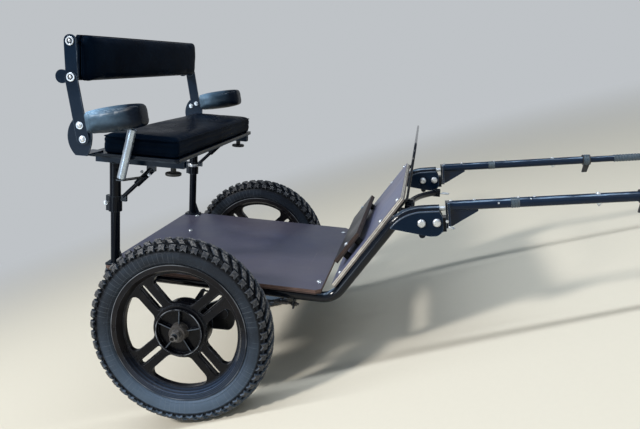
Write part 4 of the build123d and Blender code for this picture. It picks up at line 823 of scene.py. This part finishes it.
def knobbly_tyre(name, side):
    """The carcass line turned about the axle, with rows of lugs on each half of the tread."""
    half = smooth_line(CARCASS_OUT, 4)
    inner = smooth_line(CARCASS_IN, 4)
    outline = np.concatenate([half[::-1] * [1, -1], half[1:], inner[:-1], inner[::-1] * [1, -1]])
    points, faces = turned(outline, TYRE_ROUND)
    carcass = np.stack([points[:, 0], points[:, 2], points[:, 1]], axis=1)
    last = np.arange(TYRE_ROUND)
    after = (last + 1) % TYRE_ROUND
    ring = (len(outline) - 1) * TYRE_ROUND
    seam = np.stack([ring + last, ring + after, after, last], 1)
    parts = [(carcass, np.concatenate([faces, seam]))]
    for face, shift in ((1, 0.0), (-1, 0.5)):
        for middle, half_width, half_length, slant, height, phase, notch in LUG_ROWS:
            parts.append(lug_row(middle, half_width, half_length, slant, height, phase + shift, notch, face))
    points, faces = gathered(parts)
    points += [0, side * WHEEL_Y, AXLE_HEIGHT]
    tyre = piece(f"knobbly_tyre_{name}", points, faces, rubber[side], "tyre_rubber", f"wheel_{name}", 28.0)
    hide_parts(f"tyre_{name}")


for name, side in SIDES:
    knobbly_tyre(name, side)


# Upholstery

STUFFING_FRAMES = 20
STUFFING_PRESSURE = 4
CLOTH_QUALITY = 4


def hump(distance, width):
    """A smooth hill: 1 at no distance, and e to the minus square of distance over width away from it."""
    return np.exp(-((distance / width) ** 2))


def stuffed(name, rings, swell, voxel, finish, node, dents, rest=None):
    """Blows up a closed cushion. The rings are level millimetre outlines that shrink to a point at
    both ends. The mesh is remeshed into small cubes, swelled as cloth under inner pressure, and each
    point keeps its way but goes no farther than the swell. The dents are functions that give each
    point's height over that, and rest is the (axis, limit) plane that the cushion lies on."""
    rows, columns = rings.shape[:2]
    faces = grid_faces(rows, columns, loop_columns=True)
    made = shown(name, closed_mesh(name + "_raw", rings.reshape(-1, 3) / 1000, faces, 1e-5))
    remesh = made.modifiers.new("even_cells", "REMESH")
    remesh.mode, remesh.voxel_size = "VOXEL", voxel
    made = freeze(made)
    start = coordinates(made.data)
    cloth = made.modifiers.new("stuffing", "CLOTH")
    cloth.settings.quality = CLOTH_QUALITY
    cloth.settings.use_pressure = True
    cloth.settings.uniform_pressure_force = STUFFING_PRESSURE
    cloth.settings.effector_weights.gravity = 0
    cloth.point_cache.frame_start, cloth.point_cache.frame_end = 1, STUFFING_FRAMES
    for frame_number in range(1, STUFFING_FRAMES + 1):
        bpy.context.scene.frame_set(frame_number)
    swelled = coordinates(made.evaluated_get(bpy.context.evaluated_depsgraph_get()).to_mesh())
    made.modifiers.remove(cloth)
    bpy.context.scene.frame_set(1)
    moved = swelled - start
    reach = np.linalg.norm(moved, axis=1, keepdims=True)
    start = start + moved * np.minimum(1, swell / 1000 / np.maximum(reach, 1e-9))
    made.data.vertices.foreach_set("co", start.ravel())
    smooth = made.modifiers.new("finer", "SUBSURF")
    smooth.levels = smooth.render_levels = 1
    made = freeze(made)
    points = coordinates(made.data) * 1000
    normals = np.zeros(len(points) * 3)
    made.data.vertices.foreach_get("normal", normals)
    for dent in dents:
        points = points + normals.reshape(-1, 3) * dent(points)[:, None]
    if rest:
        axis, limit = rest
        points[:, axis] = np.maximum(points[:, axis], limit)
    made.data.vertices.foreach_set("co", tipped(points).ravel())
    made.data.update()
    made.data.shade_smooth()
    made.data.materials.clear()
    made.data.materials.append(finish)
    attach(made, "chassis")
    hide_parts(node)
    return made


def coordinates(mesh):
    """Every vertex of a mesh as an array."""
    flat = np.zeros(len(mesh.vertices) * 3)
    mesh.vertices.foreach_get("co", flat)
    return flat.reshape(-1, 3)


def freeze(made):
    """Swaps an object for a plain copy of what its modifiers make of it."""
    seen = made.evaluated_get(bpy.context.evaluated_depsgraph_get())
    mesh = bpy.data.meshes.new_from_object(seen)
    name, old = made.name, made.data
    bpy.data.objects.remove(made)
    bpy.data.meshes.remove(old)
    fresh = shown(name, mesh)
    fresh.name = name
    return fresh


def rounded_outline(half_x, half_y, radius, count):
    """Rounded rectangle: a circle whose quarters are pushed out to the corners, evenly by angle. The
    angles start just past zero, so that no sine or cosine is nought."""
    t = np.linspace(0, 2 * np.pi, count, endpoint=False) + 1e-6
    c, s = np.cos(t), np.sin(t)
    x = np.sign(c) * (half_x - radius) + radius * c
    return np.stack([x, np.sign(s) * (half_y - radius) + radius * s], axis=1)


def block_rings(half_x, half_y, depth, corner, edge):
    """Rings of a block with rounded edges: at each height the outline is drawn in by a quarter circle,
    and both ends shrink to a point."""
    bend = np.linspace(0, np.pi / 2, 6)
    inset = edge * (1 - np.sin(bend))
    height = edge * (1 - np.cos(bend))
    insets = np.concatenate([inset, inset[::-1]])
    heights = np.concatenate([height, depth - height[::-1]])
    rings = []
    for i, h in zip(insets, heights):
        outline = rounded_outline(half_x - i, half_y - i, max(corner - i, 2), 160)
        rings.append(np.insert(outline, 2, h, axis=1))
    low, high = rings[0] * [0, 0, 1], rings[-1] * [0, 0, 1]
    return np.stack([low, *rings, high])


def seat_cushion():
    """A boxed cushion on the seat board, its top panel crowned and its side band creased lengthways."""
    corner, edge, lift = 18, 9, 0.6
    middle = (SEAT_PAD_REAR + SEAT_FRONT) / 2
    half_x = (SEAT_FRONT - SEAT_PAD_REAR) / 2
    rings = block_rings(half_x - 2, SEAT_HALF - 3, SEAT_PAD_HEIGHT, corner, edge)
    rings = rings + [middle, 0, SEAT_TOP + lift]

    def crown(p):
        """A low dome on the top panel, flat at its edges, with a faint hollow where one sits."""
        u = np.clip(np.abs(p[:, 0] - middle) / half_x, 0, 1)
        v = np.clip(np.abs(p[:, 1]) / SEAT_HALF, 0, 1)
        top = np.clip((p[:, 2] - SEAT_TOP - 45) / 14, 0, 1)
        dome, hollow = (1 - u**4) * (1 - v**6), hump(np.abs(p[:, 1]) - 200, 120) * (1 - u**2)
        return top * (5.0 * dome - 3.0 * hollow)

    def seams(p):
        """Two grooves round the side band, and a shallow crease between them that wanders a little."""
        top_seam, low_seam, middle_crease = 52, 11, 33
        z = p[:, 2] - SEAT_TOP
        band = np.maximum(np.abs(p[:, 0] - middle) / half_x, np.abs(p[:, 1]) / SEAT_HALF) > 0.93
        wander = 2.0 * np.sin(p[:, 1] / 57 + p[:, 0] / 31) + 1.2 * np.sin(p[:, 1] / 23)
        groove = 2.4 * hump(z - top_seam, 2.2) + 2.0 * hump(z - low_seam, 2.2)
        crease = 1.5 * hump(z - middle_crease - wander, 4.0)
        return -(groove + crease) * band

    rest = (2, SEAT_TOP + 0.3)
    made = stuffed("seat_pad", rings, 6, 0.006, vinyl, "seat_cushion", (crown, seams), rest)
    outline = rounded_outline(half_x + 3, SEAT_HALF + 3, 20, 240) + [middle, 0]
    welt(made, outline, 2, SEAT_TOP + 55.5, 1.9)


def welt(pad, outline, axis, level_at, radius):
    """Piping: an outline at one level, drawn in to the nearest place on the pad and swept as a thin roll."""
    line = np.insert(outline, axis, level_at, axis=1)
    keep = [k for k in range(3) if k != axis]
    seen = np.array([pad.closest_point_on_mesh(tuple(p))[1] for p in tipped(line)])
    back = (seen * 1000 - PIVOT) @ TIP + PIVOT
    line[:, keep] = back[:, keep]
    soft = sum(np.roll(line, k, 0) for k in (-2, -1, 0, 1, 2)) / 5
    line, _ = evenly(soft, 5.0, loop=True)
    roll = tube_along(line, radius, 8, loop=True)
    piece(pad.name + "_piping", *roll, piping_vinyl, "black_vinyl", crease=80)


def backrest_pad():
    """A long pad that fills the space between the back bars, its edges turned over a board."""
    corner, edge = 22, 15
    rings = block_rings(*BACK_HALF, BACK_PAD_DEPTH, corner, edge)
    rings = np.stack([rings[..., 2] + BACK_FACE, rings[..., 1], rings[..., 0] + BACK_Z], axis=-1)

    def belly(p):
        """A soft bulge of the front, and slack pulls that run in from the ends."""
        front = np.clip((p[:, 0] - BACK_FACE - 22) / 8, 0, 1)
        u, v = (p[:, 2] - BACK_Z) / 74, np.abs(p[:, 1]) / 450
        pull = 0.7 * np.sin(p[:, 2] / 9 + p[:, 1] / 60) * hump(1 - v, 0.08)
        return front * (6.5 * (1 - u**2) * (1 - v**8) + pull)

    rest = (0, BACK_FACE + 0.3)
    made = stuffed("backrest_pad", rings, 5, 0.006, vinyl, "backrest_cushion", (belly,), rest)
    outline = rounded_outline(BACK_HALF[1] + 2, BACK_HALF[0] + 3, 18, 240) + [0, BACK_Z]
    welt(made, outline, 0, BACK_FACE + 9, 1.7)


def armrest_pad(name, side):
    """A padded block over the armrest rod: its section is a superellipse, |cos|^4 + |sin|^4 = 1, its front
    end is flat with rounded corners, and a strap band is pulled tight round its rear."""
    t = np.linspace(0, 2 * np.pi, 96, endpoint=False)
    gap = 2
    lengths = np.array([0, 0, 1.5, 5, 12, 40, 80, 120, 155, 167, 173, 177, 179, 179])
    grow = np.array([0, 0.86, 0.93, 0.955, 0.965, 0.975, 1.0, 1.0, 0.995, 0.96, 0.91, 0.83, 0.74, 0])
    square = (np.abs(np.cos(t)) ** 4 + np.abs(np.sin(t)) ** 4) ** (-1 / 4)
    r = ARM_R * grow[:, None] * square[None, :]
    a = math.radians(ARM_TILT)
    run, lift = np.broadcast_to(lengths[:, None] + gap, r.shape), r * np.sin(t)
    x = ARM_ROOT[0] + run * math.cos(a) - lift * math.sin(a)
    z = ARM_ROOT[1] + run * math.sin(a) + lift * math.cos(a)
    rings = np.stack([x, side * ARM_Y + r * np.cos(t), z], axis=-1)

    def strap(p):
        """The band's pull: a groove at each of its edges, and folds that fade along the roll."""
        s = (p[:, 0] - ARM_ROOT[0]) * math.cos(a) + (p[:, 2] - ARM_ROOT[1]) * math.sin(a)
        turn = np.arctan2(p[:, 2] - ARM_ROOT[1] - s * math.sin(a), p[:, 1] - side * ARM_Y)
        front_edge, rear_edge = 21, 12
        folds = 0.5 * np.sin(9 * turn + s / 14) * hump(s - 34, 16)
        return folds - 2.2 * hump(s - front_edge, 1.9) - 1.6 * hump(s - rear_edge, 1.9)

    stuffed(f"armrest_pad_{name}", rings, 3, 0.005, arm_vinyl, f"armrest_{name}", (strap,))


seat_cushion()
backrest_pad()
for name, side in SIDES:
    armrest_pad(name, side)

# Bolts, welds, tape and other small hardware

# Profiles of (radius, height), with 1 after them where the turned ring is a hexagon
DOMED_HEAD = [
    (0, -1.5), (11, -1.5), (11, 1.1), (10.4, 1.6), (8.4, 1.6), (8.2, 2.8), (7.0, 4.4), (4.4, 5.6), (0, 6.1),
]
HEX_NUT = [
    (0, -1.5, 0), (9.5, -1.5, 0), (9.5, 1.0, 0), (9.0, 1.4, 0), (6.5, 1.4, 1), (6.5, 7.0, 1),
    (6.2, 7.7, 0), (4.0, 7.7, 0), (4.0, 10.6, 0), (3.3, 11.3, 0), (0, 11.3, 0),
]
SMALL_SCREW = [(0, -1.2), (4.8, -1.2), (4.8, 0.7), (4.0, 2.4), (1.7, 3.1), (1.4, 2.3), (0, 2.3)]
CLAMP_RING = [
    (21.0, -6), (23.2, -6), (23.8, -5), (23.8, -1.6), (22.7, -0.9), (22.7, 0.9), (23.8, 1.6), (23.8, 5),
    (23.2, 6), (21.0, 6), (21.0, -6),
]
RING_WASHER = [(8.4, -1), (13.6, -1), (13.6, 1.8), (12.8, 2.6), (9.4, 2.6), (8.4, 1.8), (8.4, -1)]
AXLE_END = [(0, -1), (9.4, -1), (9.4, 1.6), (8.6, 2.6), (6.4, 2.6), (5.6, 1.6), (5.4, -0.5), (0, -0.5)]


def fasteners(name, profile, spots, finish=zinc, slot="zinc", size=1.0):
    """One turned profile copied to every spot, a (place, way) pair, each spun a little further."""
    shape = np.array(profile, float)
    shape[:, :2] *= size
    points, faces = turned(shape, 24)
    places, ways = (np.array(values, float) for values in zip(*spots))
    axes = axes_along(ways, 0.7 * np.arange(len(spots)))
    piece(name, *repeated(points, faces, axes, places), finish, slot)


def both_sides(*spots):
    """Spots on the cart's left, each given again on its right."""
    return [((x, side * y, z), (u, side * v, w)) for side in (1, -1) for (x, y, z), (u, v, w) in spots]


def on_dash(distance, y, lift, way):
    """A spot on the dash at a distance up its driver's face, lifted off that face."""
    x, z = along(DASH_FOOT, DASH_ANGLE, distance, lift)
    return (x, y, z), way


DOWN = (0, 0, -1)
OUT = (0, 1, 0)
IN = (0, -1, 0)
FORWARD_WAY = tuple(-np.array(DRIVER_WAY))
# Bolts as (x, y) on the floor, the first and last with nuts below; as distances up the dash, the first two
# with nuts behind; and as (distance, y) on the foot board
FLOOR_BOLTS = ((404, 300), (-254, 325), (-197, 102))
DASH_BOLTS = (358, 272, 62)
FOOT_BOLT = (126, 262)
FLOOR_THICKNESS = 15
# The dash's lower edge, length, half width there, how much it narrows upwards, and its bolts' inset
DASH_START, DASH_LENGTH = 20.5, 355.5
DASH_HALF, DASH_NARROWS = 362, 28
DASH_BOLT_INSET = 24


def dash_bolt_y(distance):
    """The dash narrows upwards, and its bolts stay one inset inside its side edges."""
    return DASH_HALF - DASH_NARROWS * (distance - DASH_START) / DASH_LENGTH - DASH_BOLT_INSET


def board_bolts():
    """Coach bolts in the floor, the dash and the foot board, with nuts behind the dash."""
    floor = both_sides(*(((x, y, FLOOR_TOP), UP) for x, y in FLOOR_BOLTS))
    dash = both_sides(*(on_dash(d, dash_bolt_y(d), 0, DRIVER_WAY) for d in DASH_BOLTS))
    foot = both_sides(on_dash(*FOOT_BOLT, FOOT_TOP, DRIVER_WAY))
    fasteners("board_bolts", DOMED_HEAD, floor + dash + foot, size=0.9)
    behind = both_sides(*(on_dash(d, dash_bolt_y(d), -DASH_THICKNESS, FORWARD_WAY) for d in DASH_BOLTS[:2]))
    behind += both_sides(on_dash(*FOOT_BOLT, -DASH_THICKNESS, FORWARD_WAY))
    below = both_sides(*(((x, y, FLOOR_TOP - FLOOR_THICKNESS), DOWN) for x, y in FLOOR_BOLTS[::2]))
    fasteners("board_nuts", HEX_NUT, behind + below, dull_zinc, size=0.9)


def seat_bolts():
    """Domed bolts and ring washers on the seat's side plates and back bars, and nuts inside them."""
    outer = [((-334, BAR_OUT, 922), OUT), ((LOWER_BOLT[0], BAR_OUT, LOWER_BOLT[1]), OUT)]
    fasteners("side_plate_bolts", DOMED_HEAD, both_sides(*outer), size=1.05)
    rings = [((HINGE[0], BAR_OUT, HINGE[1]), OUT), ((TOP_BOLT[0], BAR_OUT - 6, TOP_BOLT[1]), OUT)]
    fasteners("back_bar_washers", RING_WASHER, both_sides(*rings))
    fasteners("back_bar_bolts", SMALL_SCREW, both_sides(*rings), size=1.15)
    inner = [((-327, PLATE_Y, 926), IN), ((-351, PLATE_Y, 914), IN)]
    fasteners("side_plate_nuts", HEX_NUT, both_sides(*inner))
    knobs = [((-189, POST_Y + 11, 770), OUT), ((-164, POST_Y + 11, 762), OUT)]
    fasteners("brace_clamp_bolts", HEX_NUT, both_sides(*knobs), dull_zinc, size=0.55)
    lugs = both_sides(((POST_X - 30, POST_Y + 7, 654), OUT))
    fasteners("collar_lug_bolts", HEX_NUT, lugs, size=0.8)
    fasteners("left_collar_clamp_ring", CLAMP_RING, [((POST_X, POST_Y, 667), UP)])


def shaft_screws():
    """Small screws along the shafts, a through-bolt near each outer end, and the end plates' bolts."""
    over = np.array([-RUN_WAY[2], 0, RUN_WAY[0]])
    screws, small, heads, nuts, edge_nuts = [], [], [], [], []
    for side in (1, -1):
        for distance in (4, 73, 201, 247):
            screws.append((on_shaft(distance, side) + over * (SHAFT_R - 0.4), over))
        for distance, lean in ((143, 0.25), (236, 0.8)):
            way = np.array([0, side * math.cos(lean), 0]) + over * math.sin(lean)
            small.append((on_shaft(distance, side) + way * (SHAFT_R - 0.3), way))
        heads.append((on_shaft(425, side) + over * (SHAFT_R - 0.6), over))
        nuts.append((on_shaft(427, side) - over * (SHAFT_R - 0.6), -over))
        for run, drop in ((131, -31), (137.7, -51)):
            x, z = along(UPPER_CORNER, RUN_ANGLE, run, drop)
            edge_nuts.append(((x, side * (RAIL_Y + FLANGE_HALF), z), (0, side, 0)))
    fasteners("shaft_screws", SMALL_SCREW, screws)
    fasteners("shaft_side_screws", SMALL_SCREW, small, size=0.62)
    fasteners("shaft_through_bolts", DOMED_HEAD, heads, size=0.72)
    fasteners("shaft_through_nuts", HEX_NUT, nuts, size=0.8)
    fasteners("flange_edge_nuts", HEX_NUT, edge_nuts, size=0.5)


def weld(name, paths, bead=2.6, finish=paint):
    """Weld beads: each path swept with a radius that swells and narrows a few times a centimetre."""
    parts = []
    for path, loop in paths:
        line, even = evenly(path, WELD_STEP, loop)
        parts.append(tube_along(line, bead * (1 + 0.14 * np.sin(even * 1.7)), 8, loop))
    piece(name, *gathered(parts), finish, "black_paint", crease=60)


def saddle(place, angle, side):
    """Where a cross tube meets a rail: a circle round the cross tube, pushed along it by the rail's own
    round side, the square root of the rail's radius squared less the height squared."""
    t = np.linspace(0, 2 * np.pi, 49)
    u, v = (CROSS_R + 0.6) * np.cos(t), (CROSS_R + 0.6) * np.sin(t)
    a = math.radians(angle)
    y = side * (RAIL_Y - np.sqrt((TUBE_R + 0.6) ** 2 - v**2))
    x = place[0] + u * math.cos(a) - v * math.sin(a)
    return np.stack([x, y, place[1] + u * math.sin(a) + v * math.cos(a)], axis=1), True


def frame_welds():
    """Beads round the cross tubes' ends, along the bracket plates' upper edges and round the posts' feet."""
    joints = [((REAR_CROSS_X, RAIL_Z), 0), ((FRONT_CROSS_X, RAIL_Z), 0), (DASH_CROSS, DASH_ANGLE)]
    weld("cross_tube_welds", [saddle(place, angle, side) for place, angle in joints for side in (1, -1)])
    edge = bent_line(UPPER_CORNER, DASH_ANGLE, RUN_ANGLE, UPPER_BEND, PLATE_RUN_IN, PLATE_RUN_OUT)
    lines = []
    for side in (1, -1):
        for lean in (1, -1):
            y = np.full(len(edge), side * RAIL_Y + lean * PLATE_OUT)
            lines.append((np.column_stack([edge[:, 0], y, edge[:, 1]]), False))
    # The plates' edge beads take the lighter weld paint, a painted highlight
    weld("bracket_plate_welds", lines, 3.0, weld_paint_highlit)
    t = np.linspace(0, 2 * np.pi, 49)
    x, y = POST_X + POST_WELD_R * np.cos(t), POST_Y + POST_WELD_R * np.sin(t)
    ring = np.column_stack([x, y, np.full(49, FLOOR_TOP + POST_WELD_RISE)])
    weld("post_welds", [(ring * [1, side, 1], True) for side in (1, -1)], 2.2)


def shaft_tape():
    """Bands of tape wound on the shafts and over the left tug stop, and a grip wound on the left tip,
    whose radius swells by a half sine at each turn of the tape."""
    tape_width, tape_thickness, swell = 11, 0.4, 1.3
    parts = []
    for start, end, radius, side in ((178, 203, 15.9, 1), (178, 203, 15.9, -1), (540, 560, 20.7, 1)):
        distance = np.linspace(start, end, 14)
        line = np.stack([on_shaft(d, side) for d in distance])
        parts.append(tube_along(line, radius + 0.5 * np.sin(distance * 0.9), 28))
    distance = np.linspace(*TIP_GRIP, 240)
    line = np.stack([on_shaft(d, 1) for d in distance])
    rise = tape_thickness + swell * np.abs(np.sin(distance * np.pi / tape_width))
    parts.append(tube_along(line, TIP_R + rise, 24))
    piece("shaft_tape_bands", *gathered(parts), tape, "black_plastic", crease=60)


board_bolts()
seat_bolts()
shaft_screws()
frame_welds()
shaft_tape()
for name, side in SIDES:
    end = [((0, side * AXLE_END_Y, AXLE_HEIGHT), (0, side, 0))]
    fasteners(f"axle_end_{name}", AXLE_END, end, hub_steel, "cast_black")


# Floor, lamps and camera


FLOOR_COLOUR = (0.7, 0.65, 0.545)
BACKDROP_COLOUR = (0.52, 0.545, 0.57)
FLOOR_MIDDLE = (0.5, 0, 0)


def studio_floor():
    """A bowl: a flat disc that curves up into a round wall, radius against height, turned about Z.
    Far from the cart it shows its own pale colour to the camera and to gloss, so no wall is seen."""
    flat, bend, top = 9, 4, 7
    t = np.linspace(0, np.pi / 2, 14)
    curve = np.stack([flat + bend * np.sin(t), bend * (1 - np.cos(t))], axis=1)
    profile = np.concatenate([[[0.0, 0.0], [1.5, 0.0], [4.0, 0.0]], curve, [[flat + bend, top]]])
    points, faces = turned(profile, 96)
    mesh = bpy.data.meshes.new("studio_floor")
    mesh.from_pydata((points + FLOOR_MIDDLE).tolist(), [], faces.tolist())
    mesh.shade_smooth()
    f = Finish("pale_studio_floor", FLOOR_COLOUR, 0.9, specular=0.05)
    speck = f.noise(f.place(), 60, 4)
    f.feed("Base Color", f.tint(speck, scaled(FLOOR_COLOUR, 0.97), FLOOR_COLOUR))
    away = f.place(centre=FLOOR_MIDDLE)
    x, y = f.reach(away, 0), f.reach(away, 1)
    radius = f.calc("SQRT", f.plus(f.times(x, x), f.times(y, y)))
    rays = f.tree.nodes.new("ShaderNodeLightPath").outputs
    seen = f.most(rays["Is Camera Ray"], rays["Is Glossy Ray"])
    seen = f.most(seen, rays["Is Transmission Ray"])
    range_from = {"Value": radius, "From Min": 1.8, "From Max": 6.5}
    far = f.node("ShaderNodeMapRange", range_from, interpolation_type="SMOOTHSTEP")
    share = f.times(seen, far)
    glow = f.node("ShaderNodeEmission", {"Color": (*BACKDROP_COLOUR, 1), "Strength": 1.0})
    both = f.node("ShaderNodeMixShader", {0: share, 1: f.shader.outputs[0], 2: glow})
    f.tree.links.new(both, f.tree.nodes["Material Output"].inputs["Surface"])
    mesh.materials.append(f.material)
    shown("studio_floor", mesh)


def lamp(name, at, towards, width, power, colour, height=None):
    """A soft lamp that looks at a point: a square, or a long strip when it has its own height."""
    light = bpy.data.lights.new(name, "AREA")
    light.size, light.energy, light.color = width, power, colour
    if height:
        light.shape, light.size_y = "RECTANGLE", height
    made = shown(name, light)
    made.location = at
    made.rotation_mode = "QUATERNION"
    made.rotation_quaternion = (Vector(towards) - Vector(at)).to_track_quat("-Z", "Y")


studio_floor()
lamp("key_lamp", (-4.76, -5.22, 7.16), (0.1, 0, 0.5), 1.26, 730, (1.0, 0.97, 0.93))
lamp("fill_lamp", (3.4, -4.2, 3.0), (0.3, 0, 0.5), 3.0, 20, (0.85, 0.93, 1.0))
lamp("strip_lamp", (0.6, -0.7, 3.6), (0.6, -0.2, 0.0), 7.0, 110, (0.88, 0.94, 1.0), 0.25)
lamp("low_lamp", (-2.4, -4.6, 0.9), (0.1, 0, 0.4), 1.4, 28, (0.7, 0.85, 1.0))

world = bpy.data.worlds.new("pale_sky")
world.use_nodes = True
sky = world.node_tree.nodes["Background"].inputs
sky["Color"].default_value = (0.6, 0.78, 1.0, 1)
sky["Strength"].default_value = 0.34
bpy.context.scene.world = world

# The camera stands beside the level cart where the photograph was taken, and tips with the cart. Its
# focal length and the row of its axis are in pixels of the picture.
PICTURE = (640, 429)
FOCAL_LENGTH = 617.99
AXIS_ROW = 167.1
SENSOR_WIDTH = 36.0
camera_place = (688.9, -2209.2, 1173.8)
camera_right = (0.98400718, 0.1682307, 0.05855164)
camera_down = (0.08674057, -0.16544153, -0.98239767)
camera_ahead = (-0.15558257, 0.97176516, -0.17738808)
camera = shown("camera", bpy.data.cameras.new("camera"))
camera.data.sensor_width = SENSOR_WIDTH
camera.data.lens = SENSOR_WIDTH * FOCAL_LENGTH / PICTURE[0]
camera.data.shift_y = (AXIS_ROW - PICTURE[1] / 2) / PICTURE[0]
place = np.eye(4)
ways = (camera_right, camera_down, camera_ahead)
place[:3, :3] = np.stack([tipped_way(way) for way in ways], axis=1) * [1, -1, -1]
place[:3, 3] = tipped(camera_place)
camera.matrix_world = Matrix(place.tolist())
bpy.context.scene.camera = camera
bpy.context.scene.view_settings.view_transform = "Standard"
